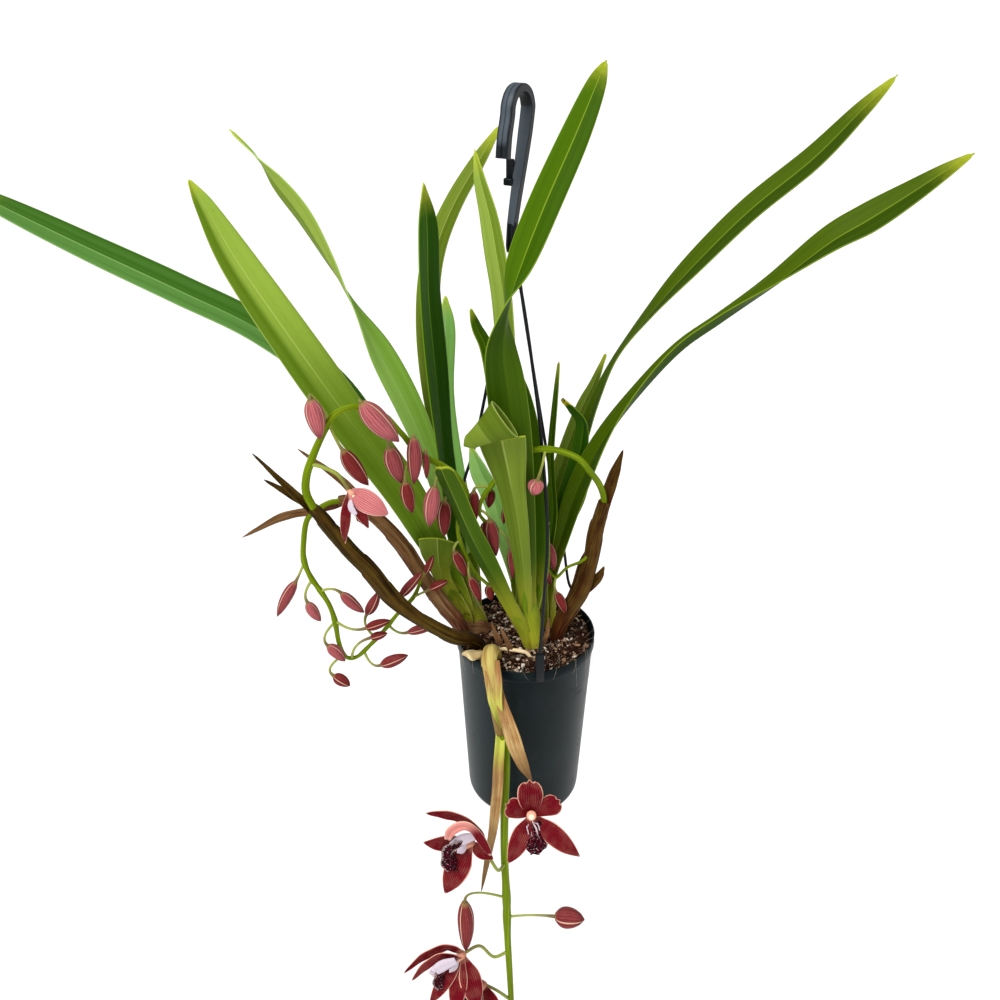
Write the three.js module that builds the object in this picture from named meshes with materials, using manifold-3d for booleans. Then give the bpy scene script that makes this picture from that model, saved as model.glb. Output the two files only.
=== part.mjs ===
// A cymbidium orchid in a hanging nursery pot. Millimetres, +Z up, the front of the pot looks to -Y.
// The origin is the saddle of the hook, where the pot hangs from a rail.
// The pot and the plant are laid out from the centre of the pot's rim, in a group that hangs below the hook.
import * as THREE from 'three';
import { mergeVertices } from 'three/addons/utils/BufferGeometryUtils.js';
import Module from 'manifold-3d';

const wasm = await Module();
wasm.setup();

// Driving dimensions
const HANGER_HEIGHT = 436; // saddle of the hook to the rim of the pot
const HANGER_LEAN = 10; // the pot's axis lies this far to the right of the saddle
const POT_RIM_RADIUS = 60;
const POT_BASE_RADIUS = 51;
const POT_HEIGHT = 176;
const POT_WALL = 1.6;
const POT_RIM_BAND = 10;
const POT_CORNER = 10;
const POT_FOOT_DEPTH = 2.5;
const DRAIN_RADIUS = 3.5;
const SOIL_BELOW_RIM = 6;
const HOOK_INNER_RADIUS = 12;
const HOOK_BAND = 5.5;
const HOOK_WIDTH = 9;
const STRAND_RADIUS = 1.5;
const CLIP_WIDTH = 7;
const CLIP_AZIMUTHS = { front: -80, right: 42, left: 160 };
const LEAF_THICKNESS = 1.1;
const SHEATH_THICKNESS = 1;
const PETAL_THICKNESS = 0.9;
const GAP = 0.3; // clearance between touching pieces

// Colours of the pieces
const BLACK_GREEN = 0x1c2526;
const HOOK_BLACK = 0x23292c;
const SOIL_BROWN = 0x3b2c22;
const LEAF_GREEN = 0x4d6b16;
const LEAF_BLUE_GREEN = 0x4c7d4a;
const GROWTH_GREEN = 0x8c9a2e;
const SHEATH_BROWN = 0x54371f;
const SHEATH_TAN = 0xa08a63;
const STEM_GREEN = 0x8fb52a;
const BURGUNDY = 0x8c2f42;
const LIP_MAROON = 0x2e0b16;

const FRONT = new THREE.Vector3(0, -1, 0);
const UP = new THREE.Vector3(0, 0, 1);
const pieces = new THREE.Group();
const plant = new THREE.Group();
plant.position.set(HANGER_LEAN, 0, -HANGER_HEIGHT);
pieces.add(plant);

function vector([x, y, z]) {
  return new THREE.Vector3(x, y, z);
}

function smoothCurve(points) {
  return new THREE.CatmullRomCurve3(points, false, 'catmullrom', 0.5);
}

// A closed skin over rings of points. Each ring has an even number of points, and its ends are
// closed across, point against point, so that a blade's two faces are split alike.
function skin(rings) {
  const sides = rings[0].length;
  const index = [];
  const quad = (a, b, c, d, flipped) => {
    index.push(...(flipped ? [a, b, d, b, c, d] : [a, b, c, a, c, d]));
  };
  for (let i = 0; i < rings.length - 1; i++) {
    for (let j = 0; j < sides; j++) {
      const k = (j + 1) % sides;
      quad(i * sides + j, i * sides + k, (i + 1) * sides + k, (i + 1) * sides + j, j < sides / 2);
    }
  }
  const last = (rings.length - 1) * sides;
  for (let j = 0; j < sides / 2 - 1; j++) {
    const opposite = sides - 1 - j;
    quad(opposite, opposite - 1, j + 1, j, false);
    quad(last + j, last + j + 1, last + opposite - 1, last + opposite, false);
  }
  const geometry = new THREE.BufferGeometry();
  geometry.setAttribute('position', new THREE.Float32BufferAttribute(rings.flat().flatMap((p) => p.toArray()), 3));
  geometry.setIndex(enclosedVolume(rings.flat(), index) < 0 ? index.toReversed() : index);
  return geometry;
}

function enclosedVolume(points, index) {
  let volume = 0;
  for (let i = 0; i < index.length; i += 3) {
    const [a, b, c] = [points[index[i]], points[index[i + 1]], points[index[i + 2]]];
    volume += a.dot(new THREE.Vector3().crossVectors(b, c)) / 6;
  }
  return volume;
}

function toSolid(geometry) {
  const bare = geometry.clone();
  bare.deleteAttribute('normal');
  bare.deleteAttribute('uv');
  const merged = mergeVertices(bare, 1e-4);
  const vertProperties = merged.attributes.position.array;
  const triVerts = new Uint32Array(merged.index.array);
  return new wasm.Manifold(new wasm.Mesh({ numProp: 3, vertProperties, triVerts }));
}

function toGeometry(solid) {
  const { vertProperties, triVerts } = largestBody(solid).getMesh();
  const geometry = new THREE.BufferGeometry();
  geometry.setAttribute('position', new THREE.BufferAttribute(vertProperties, 3));
  geometry.setIndex(new THREE.BufferAttribute(triVerts, 1));
  return geometry;
}

function largestBody(solid) {
  return solid.decompose().reduce((best, body) => (body.volume() > best.volume() ? body : best));
}

function fuse(geometries) {
  return geometries.map(toSolid).reduce((whole, next) => whole.add(next));
}

function carve(solid, cutters) {
  return cutters.map(toSolid).reduce((rest, cutter) => rest.subtract(cutter), solid);
}

// A leaf-like blade. A station is [x, y, z, width, turn, fold]: a point of the midrib, the width there,
// the turn about the blade's own length (0 looks to the front) and how steeply the two halves rise.
function blade(stations, steps, thickness, grow = 0) {
  const spine = smoothCurve(stations.map(vector));
  const form = smoothCurve(stations.map(([, , , width, turn, fold]) => new THREE.Vector3(width, turn, fold)));
  const rings = [];
  for (let i = 0; i <= steps; i++) {
    const point = spine.getPoint(i / steps);
    const along = spine.getTangent(i / steps);
    const { x: width, y: turn, z: fold } = form.getPoint(i / steps);
    const across = new THREE.Vector3().crossVectors(along, FRONT).normalize();
    across.applyAxisAngle(along, THREE.MathUtils.degToRad(turn));
    if (i === 0) point.addScaledVector(along, -grow);
    rings.push(bladeRing(point, along, across, Math.max(width, 1) / 2 + grow, fold, thickness / 2 + grow));
  }
  return skin(rings);
}

function bladeRing(point, along, across, half, fold, lift) {
  const face = new THREE.Vector3().crossVectors(across, along).normalize();
  const slope = THREE.MathUtils.degToRad(fold);
  const rise = face.clone().multiplyScalar(half * Math.sin(slope));
  const left = point.clone().addScaledVector(across, -half * Math.cos(slope)).add(rise);
  const right = point.clone().addScaledVector(across, half * Math.cos(slope)).add(rise);
  const raised = [left, point, right].map((p) => p.clone().addScaledVector(face, lift));
  const lowered = [right, point, left].map((p) => p.clone().addScaledVector(face, -lift));
  return [...raised, ...lowered];
}

// A round stalk that tapers. A station is [x, y, z, radius].
function stalk(stations, sides, steps, grow = 0) {
  const path = smoothCurve(stations.map(vector));
  const frames = path.computeFrenetFrames(steps, false);
  const rings = [];
  for (let i = 0; i <= steps; i++) {
    const u = i / steps;
    const place = path.getUtoTmapping(u) * (stations.length - 1);
    const before = Math.min(Math.floor(place), stations.length - 2);
    const radius = THREE.MathUtils.lerp(stations[before][3], stations[before + 1][3], place - before) + grow;
    const ring = [];
    for (let j = 0; j < sides; j++) {
      const angle = (2 * Math.PI * (j + 0.5)) / sides;
      ring.push(path.getPointAt(u)
        .addScaledVector(frames.normals[i], radius * Math.cos(angle))
        .addScaledVector(frames.binormals[i], radius * Math.sin(angle)));
    }
    rings.push(ring);
  }
  return skin(rings);
}

// A wire of one radius along a curve
function wire(curve, radius, sides, steps) {
  const section = new THREE.Shape();
  for (let j = 0; j < sides; j++) {
    const angle = (2 * Math.PI * j) / sides;
    if (j === 0) section.moveTo(radius, 0);
    else section.lineTo(radius * Math.cos(angle), radius * Math.sin(angle));
  }
  return new THREE.ExtrudeGeometry(section, { steps, extrudePath: curve });
}

function addPiece(name, shape, color, group = plant) {
  const geometry = shape.isBufferGeometry ? shape : toGeometry(shape);
  const material = new THREE.MeshStandardMaterial({ color, roughness: 0.6, metalness: 0, flatShading: true });
  const mesh = new THREE.Mesh(geometry, material);
  mesh.name = name;
  group.add(mesh);
  return mesh;
}

// A turned shape about the pot's axis, from a profile of [radius, height]
function turned(profile, segments) {
  const geometry = new THREE.LatheGeometry(profile.map(([r, z]) => new THREE.Vector2(r, z)), segments);
  return geometry.rotateX(Math.PI / 2);
}

// Pot: a moulded shell with a rim band, a rounded base, a foot ring and drain holes
const DRAIN_HOLES = 6;
const DRAIN_CIRCLE = 22;
const FOOT_RADIUS = POT_BASE_RADIUS - POT_CORNER;

function corner(radius, centreR, centreZ) {
  const steps = 3;
  const points = [];
  for (let i = 0; i <= steps; i++) {
    const angle = (i / steps) * (Math.PI / 2);
    points.push([centreR + radius * Math.cos(angle), centreZ - radius * Math.sin(angle)]);
  }
  return points;
}

function makePot() {
  const cornerZ = POT_CORNER - POT_HEIGHT;
  const outer = corner(POT_CORNER, FOOT_RADIUS, cornerZ);
  const inner = corner(POT_CORNER - POT_WALL, FOOT_RADIUS, cornerZ).reverse();
  const floor = inner[0][1] - 0.6;
  inner[0][1] = floor;
  const shell = toSolid(turned([
    [POT_RIM_RADIUS - POT_WALL, 0],
    [POT_RIM_RADIUS, 0],
    [POT_RIM_RADIUS, -POT_RIM_BAND],
    [POT_RIM_RADIUS - 1.4, -POT_RIM_BAND - 1],
    ...outer,
    [FOOT_RADIUS - 6, -POT_HEIGHT],
    [FOOT_RADIUS - 7, -POT_HEIGHT + POT_FOOT_DEPTH],
    [0, -POT_HEIGHT + POT_FOOT_DEPTH],
    [0, floor + 2],
    [FOOT_RADIUS - 7, floor + 2],
    ...inner.slice(1),
    [POT_RIM_RADIUS - 1.4 - POT_WALL, -POT_RIM_BAND - 1],
    [POT_RIM_RADIUS - POT_WALL, -POT_RIM_BAND],
    [POT_RIM_RADIUS - POT_WALL, 0],
  ].reverse(), 32));
  const drains = [];
  for (let i = 0; i < DRAIN_HOLES; i++) {
    const angle = (2 * Math.PI * i) / DRAIN_HOLES;
    const drill = new THREE.CylinderGeometry(DRAIN_RADIUS, DRAIN_RADIUS, 20, 10).rotateX(Math.PI / 2);
    drill.translate(DRAIN_CIRCLE * Math.cos(angle), DRAIN_CIRCLE * Math.sin(angle), -POT_HEIGHT);
    drains.push(drill);
  }
  return carve(shell, drains);
}

// Growths: the swollen bases that the leaves rise from. A row is [x, y, z, half width, half depth].
const GROWTHS = {
  left: [[-40, 11, -24, 8, 11], [-42, 11, -6, 11, 15], [-43, 11, 8, 10.5, 14.5], [-51, 11, 26, 11, 16], [-54, 11, 40, 8, 14]],
  middle: [[8, -14, -22, 6, 10], [8, -14, -5, 9, 13], [6, -14, 10, 11, 15.5], [2, -13.5, 30, 13, 16], [-1, -13, 48, 12, 14.5]],
  right: [[16, 14, -24, 8, 10], [17, 15, -6, 10, 13], [18, 16, 10, 11, 15], [19, 16, 27, 10, 15], [20, 17, 40, 8, 13]],
};

function growthBody(rows, grow = 0) {
  const sides = 12;
  return skin(rows.map(([x, y, z, wide, deep], i) => {
    const ring = [];
    for (let j = 0; j < sides; j++) {
      const angle = (2 * Math.PI * j) / sides;
      const height = i === 0 ? z - grow : z;
      ring.push(new THREE.Vector3(x + (wide + grow) * Math.cos(angle), y + (deep + grow) * Math.sin(angle), height));
    }
    return ring;
  }));
}

// Leaves of each growth. Every leaf starts folded in its growth and opens as it rises.
const LEAVES = {
  left: {
    leaf_left_cut_wide: {
      steps: 10,
      stations: [[-52, -2, 18, 12, 5, 36], [-61, -3.5, 38, 12, 15, 32], [-69, -6, 56, 14, 15, 26],
        [-72.5, -9, 74, 20, 12, 20], [-73, -12, 90, 29, 10, 14], [-73, -13, 103, 31, 10, 12]],
    },
    leaf_left_broad: {
      steps: 15,
      stations: [[-50, 2.5, 18, 12, 5, 35], [-61, 2, 50, 16, 18, 28], [-80, -3, 95, 26, 28, 20],
        [-101, -9, 145, 32, 26, 15], [-138, -20, 213, 33, 26, 14], [-165, -28, 265, 32, 28, 14],
        [-198, -38, 331, 26, 30, 14], [-214, -45, 372, 13, 30, 10], [-221, -48, 389, 2, 30, 5]],
    },
    leaf_left_upright: {
      steps: 14,
      stations: [[-50, 7, 18, 12, 5, 35], [-55, 9, 50, 14, 14, 28], [-59, 9, 86, 16, 28, 22],
        [-66, 2, 164, 20, 50, 18], [-70, -6, 235, 23, 52, 16], [-73, -14, 299, 24, 54, 14],
        [-72, -20, 350, 20, 55, 12], [-73, -22, 382, 2, 55, 5]],
    },
    leaf_left_long: {
      steps: 18,
      stations: [[-49, 11, 18, 12, 5, 35], [-57, 12, 40, 13, 10, 28], [-69, 13, 62, 15, 12, 22],
        [-103, 19, 131, 24, 50, 18], [-149, 30, 209, 29, 58, 16], [-208, 42, 255, 30, 60, 16],
        [-271, 52, 285, 30, 60, 16], [-338, 62, 315, 27, 60, 15], [-400, 69, 345, 20, 60, 14],
        [-452, 75, 372, 2, 60, 8]],
    },
    leaf_left_twisted: {
      steps: 16,
      stations: [[-48, 15, 18, 12, 5, 35], [-54, 21, 50, 12, 10, 28], [-61, 24, 85, 15, 15, 20],
        [-79, 29, 149, 21, 42, 18], [-96, 33, 197, 24, 35, 15], [-117, 38, 241, 24, 48, 15],
        [-137, 42, 280, 15, 92, 15], [-153, 47, 312, 17, 132, 15], [-170, 52, 342, 20, 145, 15],
        [-188, 56, 366, 16, 140, 14], [-203, 60, 386, 7, 95, 12], [-219, 62, 403, 2, 80, 5]],
    },
    leaf_left_short: {
      steps: 9,
      stations: [[-46, 19, 18, 11, 5, 35], [-47, 28, 49, 12, 10, 28], [-51, 34, 76, 14, 15, 22],
        [-57, 41, 107, 18, 22, 18], [-66, 46, 160, 21, 30, 16], [-69, 46, 205, 21, 30, 16],
        [-65, 44, 257, 17, 30, 14], [-64, 44, 284, 2, 30, 5]],
    },
    leaf_left_back: {
      steps: 14,
      stations: [[-44, 23.5, 18, 11, 5, 35], [-48, 38, 56, 13, 8, 28], [-58, 50, 93, 17, 10, 24],
        [-73, 57, 172, 20, 10, 20], [-79, 58, 233, 20, 0, 16], [-77, 54, 286, 20, -20, 14],
        [-70, 60, 319, 19, -35, 14], [-56, 66, 350, 18, -42, 14], [-37, 72, 380, 14, -42, 12],
        [-21, 75, 405, 2, -42, 5]],
    },
  },
  middle: {
    leaf_middle_cut_narrow: {
      steps: 7,
      stations: [[-1, -27, 14, 11, 180, 38], [-13, -34, 45, 13, 175, 30], [-28, -41, 83, 18, 165, 25],
        [-43, -50, 123, 20, 155, 22], [-55, -57, 160, 20, 150, 20], [-65, -66, 193, 18, 150, 18]],
    },
    leaf_middle_curled: {
      steps: 14,
      stations: [[0, -23, 14, 12, 180, 38], [-3, -33, 73, 14, 180, 30], [-8, -42, 125, 18, 180, 22],
        [-11.8, -46, 154, 20.5, 180, 18], [-14.4, -49, 172, 24.5, 180, 16], [-17.4, -51, 190, 31, 180, 14],
        [-19.6, -55, 203, 34, 180, 10], [-20.5, -60, 211, 34, 180, 8]],
    },
    leaf_middle_tall: {
      steps: 20,
      stations: [[1, -19, 14, 12, 180, 38], [1, -24, 50, 15, 180, 30], [-5, -32, 120, 23, 180, 16],
        [-12, -41, 194, 29, 180, 10], [-17, -44, 239, 29, 184, 10], [-20, -45, 273, 26, 210, 18],
        [-16, -45, 304, 21, 265, 25], [-7, -44, 334, 24, 318, 20], [8, -40, 373, 23, 338, 16],
        [26, -32, 413, 20, 346, 14], [39, -24, 443, 13, 350, 10], [45, -20, 457, 2, 350, 5]],
    },
    leaf_middle_right: {
      steps: 9,
      stations: [[1, -9.5, 14, 12, 0, 38], [6, -11, 45, 16, 0, 30], [8, -12, 80, 23, 0, 20],
        [2, -12, 144, 26, 0, 15], [-3, -12, 188, 26, 0, 14], [-9, -13, 226, 20, 0, 12],
        [-14, -14, 258, 2, 0, 5]],
    },
    leaf_middle_small: {
      steps: 10,
      stations: [[0, -5.5, 14, 11, 0, 38], [-3, -6, 55, 12, 0, 30], [-11, -6, 135, 15, 0, 20],
        [-22, -8, 212, 16, 15, 18], [-32, -12, 260, 13, 40, 16], [-39, -15, 279, 9, 45, 12],
        [-43, -18, 294, 2, 45, 5]],
    },
    leaf_middle_back: {
      steps: 14,
      stations: [[-1, -1.5, 14, 11, 0, 38], [-3, -1, 60, 13, 0, 30], [-7, 0, 120, 16, -10, 24],
        [-11, -1, 180, 18, -25, 20], [-15, -3, 236, 20, -38, 18], [-19, -8, 296, 21, -42, 16],
        [-24, -10, 330, 20, -42, 15], [-29, -11, 358, 17, -42, 14], [-35, -10, 381, 12, -42, 12],
        [-39, -8, 401, 2, -42, 5]],
    },
    leaf_middle_low: {
      steps: 8,
      stations: [[-2, 2.5, 14, 11, 0, 38], [-7, 4, 45, 12, 0, 30], [-16, 4, 82, 14, -10, 24],
        [-28, 3, 130, 20, -25, 18], [-38, 1, 156, 18, -30, 15], [-45, 0, 178, 2, -30, 8]],
    },
  },
  right: {
    leaf_right_thin: {
      steps: 11,
      stations: [[15, 3.5, 18, 8, -15, 35], [15.5, 3.5, 50, 7, -20, 25], [18, 4, 75, 7, -20, 20],
        [21, 5, 98, 7, -20, 18], [22, 8, 116, 7, -20, 15], [20, 12, 142, 6, -20, 15], [19, 16, 166, 6, -30, 12],
        [22, 24, 209, 5, -40, 10], [24, 28, 236, 2, -40, 5]],
    },
    leaf_right_low: {
      steps: 20,
      stations: [[18, 7, 18, 11, -15, 38], [21, 7, 50, 13, -22, 30], [27, 6, 80, 15, -30, 24],
        [41, 4, 136, 20, -42, 20], [60, 1, 182, 23, -70, 25], [84, -4, 222, 24, -95, 35],
        [111, -8, 258, 24, -108, 40], [138, -12, 282, 25, -105, 38], [171, -18, 311, 27, -90, 28],
        [203, -24, 342, 28, -72, 20], [225, -27, 358, 27, -64, 16], [246, -30, 374, 22, -62, 14],
        [268, -32, 391, 13, -60, 10], [284, -34, 403, 2, -60, 5]],
    },
    leaf_right_short: {
      steps: 7,
      stations: [[18, 10.5, 18, 10, -15, 38], [22, 12, 52, 12, -20, 28], [32, 13, 93, 12, -25, 22],
        [43, 12, 122, 10, -30, 18], [51, 11, 145, 2, -30, 5]],
    },
    leaf_right_hooked: {
      steps: 12,
      stations: [[18, 14, 18, 11, -15, 38], [20, 17, 52, 13, -15, 30], [27, 20, 93, 14, -20, 25],
        [36, 20, 128, 16, -25, 22], [43, 19, 166, 15, -30, 22], [44, 18, 189, 13, -40, 25],
        [36, 17, 202, 11, -50, 30], [27, 18, 210, 8, -50, 30]],
    },
    leaf_right_high: {
      steps: 19,
      stations: [[18, 17.5, 18, 12, -15, 38], [20, 22, 55, 13, -15, 30], [27, 25, 94, 14, -25, 25],
        [35, 28, 124, 15, -40, 22], [46, 33, 168, 15, -52, 20], [57, 35, 204, 14, -74, 20],
        [71, 37, 237, 14, -92, 20], [93, 39, 269, 21, -85, 16], [122, 43, 304, 25, -72, 14],
        [163, 48, 347, 26, -68, 13], [207, 53, 384, 25, -66, 12], [239, 57, 418, 17, -66, 10],
        [260, 60, 440, 2, -66, 5]],
    },
    leaf_right_dark: {
      steps: 11,
      stations: [[17, 21, 18, 11, -15, 38], [16, 28, 54, 12, -10, 28], [19.5, 36, 90, 12, -8, 20],
        [25.5, 40, 126, 13, -10, 16], [37, 46, 163, 13, -15, 15], [46, 50, 190, 10, -20, 14],
        [55, 52, 210, 7, -25, 12], [63, 54, 233, 2, -25, 5]],
    },
  },
};
const CURLED_END = { fold: [-47.7, -62, 207.2, 3.5], mouth: [-18.1, -62, 227.9, 16] };
const BLUE_GREEN_LEAVES = ['leaf_left_long', 'leaf_left_short', 'leaf_middle_low'];

// Flower stalks in their brown sheaths, with the free tips of the sheaths
const STALKS = {
  stalk_left_upper: {
    color: SHEATH_BROWN,
    path: [[-37, -17, -14, 5.5], [-42, -22, 2, 7], [-50, -29, 12, 7.5], [-62, -40, 23, 7], [-86, -48, 45, 6.5],
      [-107, -52, 69, 8], [-122, -57, 97, 8], [-136, -60, 118, 7.5], [-150, -63, 141, 6.5], [-160, -65, 158, 5]],
    tips: [
      [[-152, -63, 145, 10, 40, 30], [-175, -66, 174, 6, 40, 25], [-198, -68, 204, 1, 40, 10]],
      [[-140, -60, 124, 10, 30, 30], [-156, -61, 152, 8, 30, 25], [-175, -62, 167, 6, 30, 20],
        [-194, -62, 180, 1, 30, 10]],
    ],
  },
  stalk_left_lower: {
    color: SHEATH_BROWN,
    path: [[-50, -8, -14, 4.5], [-51, -13, 2, 5], [-60, -17, 24, 6.5], [-72, -18, 43, 7], [-88, -18, 72, 6.5],
      [-102, -20, 100, 6.5], [-120, -25, 127, 5.5], [-138, -31, 145, 4.5], [-146, -34, 147, 4]],
    tips: [
      [[-128, -26, 135, 9, 30, 30], [-141, -30, 160, 7, 30, 25], [-173, -34, 191, 1, 30, 10]],
      [[-140, -33, 145, 6, 0, 20], [-167, -37, 140, 7, 0, 20], [-190, -40, 136, 7, 0, 20],
        [-221, -44, 120, 1, 0, 10]],
    ],
  },
  stalk_right: {
    color: SHEATH_BROWN,
    path: [[24, -9, -14, 5], [27, -9, 2, 6.5], [34, -8, 22, 8], [46, -6, 44, 8], [53, -4, 73, 7], [56, -3, 98, 7],
      [60, -3, 119, 6], [62, -3, 129, 5]],
    tips: [
      [[60.4, -2.6, 114, 10, -30, 30], [68, -0.4, 147, 11, -30, 28], [75, 2, 173, 1, -30, 10]],
      [[46, -5, 42, 12, -30, 30], [60, -4, 56, 9, -30, 28], [65, -3, 67, 1, -30, 10]],
    ],
    twigs: [[[53, -2, 88, 1.3], [45, 0, 69, 1.3], [40, 0, 47, 1.3], [34, -2, 30, 1.3]]],
  },
  stalk_front: {
    color: SHEATH_TAN,
    path: [[-22, -30, -14, 4.5], [-27, -36, 3, 5.5], [-30, -48, 12, 6.5], [-31, -61, 11, 6], [-29, -69, 1, 5.5],
      [-25, -72, -24, 5.5], [-21, -73, -52, 5]],
    tips: [
      [[-28.5, -63, 15, 14, 0, 30], [-27, -72, 3, 15.5, 0, 30], [-26, -76.5, -12, 13, 0, 28],
        [-23.5, -77.5, -28, 8.5, 0, 25], [-21, -77.5, -44, 1, 0, 10]],
      [[-24, -72, -6, 8, 0, 30], [-18.5, -78, -24, 11.5, 0, 30], [-13.5, -81, -41, 14, 0, 27],
        [-8, -83, -61, 13.5, 0, 25], [-2, -84, -79, 9.5, 0, 20], [5, -84, -97, 1, 0, 10]],
      [[-21, -75, -46, 9, 0, 30], [-23, -80, -75, 10, 0, 30], [-24, -82, -102, 10, 0, 25],
        [-26, -82, -131, 10, 0, 25], [-29, -81, -162, 8, 0, 25], [-34, -79, -200, 5.5, 0, 20],
        [-39, -78, -238, 1, 0, 10]],
    ],
  },
};

// Racemes: the green stem with its pedicels and buds. A bud is [station of the stem, base, tip, width].
// A pedicel with a bloom on it is listed by the points that it passes after it leaves the stem.
const RACEMES = {
  raceme_left_upper: {
    socket: 'stalk_left_upper',
    stem: [[-157, -65, 153, 3], [-163, -66, 170, 3], [-162, -66, 184, 3], [-157, -66, 198, 2.9],
      [-149, -66, 215, 2.5], [-139, -66, 232, 2.3], [-127, -64, 238, 2.3], [-115, -61, 236, 2.2],
      [-104, -57, 228, 2.2], [-93, -53, 213, 2.1], [-81, -48, 194, 2.1], [-66, -44, 183, 2],
      [-56, -41, 174, 2], [-47, -38, 155, 1.9], [-53, -36, 138, 1.7], [-55, -33, 120, 1.6],
      [-51, -30, 100, 1.5], [-43, -27, 78, 1.4], [-32, -24, 63, 1.2]],
    buds: [
      [4.8, [-152, -74, 248], [-147, -78, 220], 13],
      [4.7, [-133, -71, 208], [-117, -69, 179], 12],
      [7, [-117, -72, 245], [-93, -71, 215], 16],
      [8.2, [-101, -62, 206], [-94, -60, 176], 13],
      [9.8, [-91, -62, 178], [-87, -62, 152], 10],
      [9.6, [-84, -58, 212], [-85, -60, 175], 11],
      [10.3, [-76, -56, 199], [-76, -57, 178], 5],
      [11, [-70, -56, 171], [-75, -60, 139], 12],
      [13.6, [-64, -44, 152], [-65, -44, 121], 11],
      [15.5, [-58, -36, 102], [-49, -34, 77], 9],
      [16.5, [-46, -36, 78], [-38, -34, 53], 8],
      [18, [-31, -24, 62], [-29, -24, 47], 8],
    ],
    blooms: [[2.8, [[-148, -70, 194], [-138, -73, 190], [-132, -73, 180], [-131.3, -73, 178]]]],
  },
  raceme_left_lower: {
    socket: 'stalk_left_lower',
    stem: [[-142, -33, 146, 2.1], [-152, -35, 146, 2.1], [-162, -37, 141, 2.2], [-171, -38, 132, 2.2],
      [-175, -40, 114, 2.2], [-176, -42, 98, 2.1], [-172, -43, 83, 2], [-165, -44, 70, 2], [-159, -44, 56, 2],
      [-156, -43, 39, 2], [-155, -41, 17, 1.9], [-151, -39, 1, 1.6], [-142, -37, -1, 1.5], [-131, -35, 9, 1.6],
      [-118, -32, 23, 1.6], [-106, -29, 38, 1.6], [-93, -26, 52, 1.5], [-86, -23, 68, 1.4], [-82, -22, 76, 1.2]],
    buds: [
      [5.1, [-184, -44, 79], [-202, -45, 46], 9],
      [6.2, [-175, -50, 63], [-166, -50, 45], 9],
      [7, [-148, -48, 71], [-131, -48, 52], 9],
      [8.9, [-131, -46, 35], [-111, -42, 40], 8],
      [9, [-163, -48, 19], [-150, -48, 3], 10],
      [10.8, [-162, -42, -17], [-149, -42, -28], 10],
      [13.5, [-131, -36, 42], [-120, -36, 64], 9],
      [11.6, [-128, -44, 24], [-114, -43, 28], 7],
      [12.6, [-122, -38, -9], [-99, -36, 0], 10],
      [14.3, [-99, -30, 19], [-72, -28, 28], 8],
      [15.6, [-103, -36, 59], [-84, -34, 82], 8],
      [18, [-82, -28, 77], [-75, -30, 95], 6],
      [16, [-79, -28, 61], [-64, -28, 69], 7],
    ],
    blooms: [],
  },
  raceme_right: {
    socket: 'stalk_right',
    stem: [[62, -3, 122, 2.6], [61, -4, 134, 2.6], [56, -10, 149, 2.6], [48, -17, 163, 2.5], [38, -22, 177, 2.5],
      [23, -29, 187, 2.5], [12, -32, 190, 2.4], [1, -32, 189, 2.3], [-11, -32, 184, 2.2], [-20, -32, 174, 2],
      [-27, -33, 162, 1.9], [-33, -33, 153, 1.8], [-37, -33, 144, 1.6], [-38, -33, 135, 1.4], [-34, -33, 128, 1.2]],
    buds: [
      [6, [6, -46, 171], [2, -47, 159], 12],
      [10.4, [-42, -34, 155], [-41, -34, 129], 9],
      [11.2, [-29, -26, 152], [-31, -26, 136], 8],
      [12.6, [-30, -36, 131], [-25, -36, 98], 11],
      [14, [-34, -28, 124], [-34, -28, 108], 7],
      [13.8, [-14, -30, 100], [-12, -30, 72], 6],
      [9.2, [-19, -26, 134], [-19, -26, 121], 4],
    ],
    blooms: [],
  },
  raceme_middle: {
    socket: 'stalk_right',
    stem: [[53, -6, 82, 1.4], [45, -8, 75, 1.3], [34, -6, 68, 1.2], [25, -4, 57, 1.3], [18, -2, 64, 1.3],
      [14, -1, 78, 1.2], [14, -1, 93, 1.2], [16, -1, 104, 1]],
    buds: [
      [6.6, [16, -4, 109], [7, -4, 99], 9],
      [6, [11, -1, 94], [11, -1, 80], 6],
      [5.6, [17, -4, 91], [23, -5, 64], 9],
      [4.6, [12, -4, 72], [21, -4, 49], 8],
      [3, [25, -12, 47], [33, -18, 30], 8],
    ],
    blooms: [],
  },
  raceme_front: {
    socket: 'stalk_front',
    stem: [[-21, -73, -44, 3.4], [-17, -74, -76, 3.6], [-18, -76, -137, 3.6], [-18, -77, -192, 3.5],
      [-16, -78, -247, 3.4], [-15, -79, -297, 3.3], [-13, -80, -343, 3.1], [-11, -81, -392, 2.8],
      [-10, -81, -436, 2.3], [-12, -80, -468, 1.6]],
    buds: [
      [4, [-54, -91, -237], [-54, -94, -300], 15],
      [4.5, [29, -84, -265], [56, -86, -267], 19],
      [8.3, [-32, -88, -431], [-42, -92, -460], 12],
      [8.6, [8, -86, -447], [20, -90, -470], 11],
      [9, [-10, -81, -482], [-8, -82, -504], 9],
    ],
    blooms: [
      [2.1, [[-5, -86, -118], [2, -97, -116], [3.6, -101, -116]]],
      [3.2, [[-24, -92, -194], [-34, -96, -168], [-46, -95.6, -155]]],
      [5.5, [[-28, -87, -318], [-41, -91, -297], [-56, -95.5, -302]]],
      [7, [[-24, -85, -372], [-37, -88.7, -356]]],
      [7.5, [[8, -86, -400], [25, -91.6, -405.6]]],
    ],
  },
};

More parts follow.
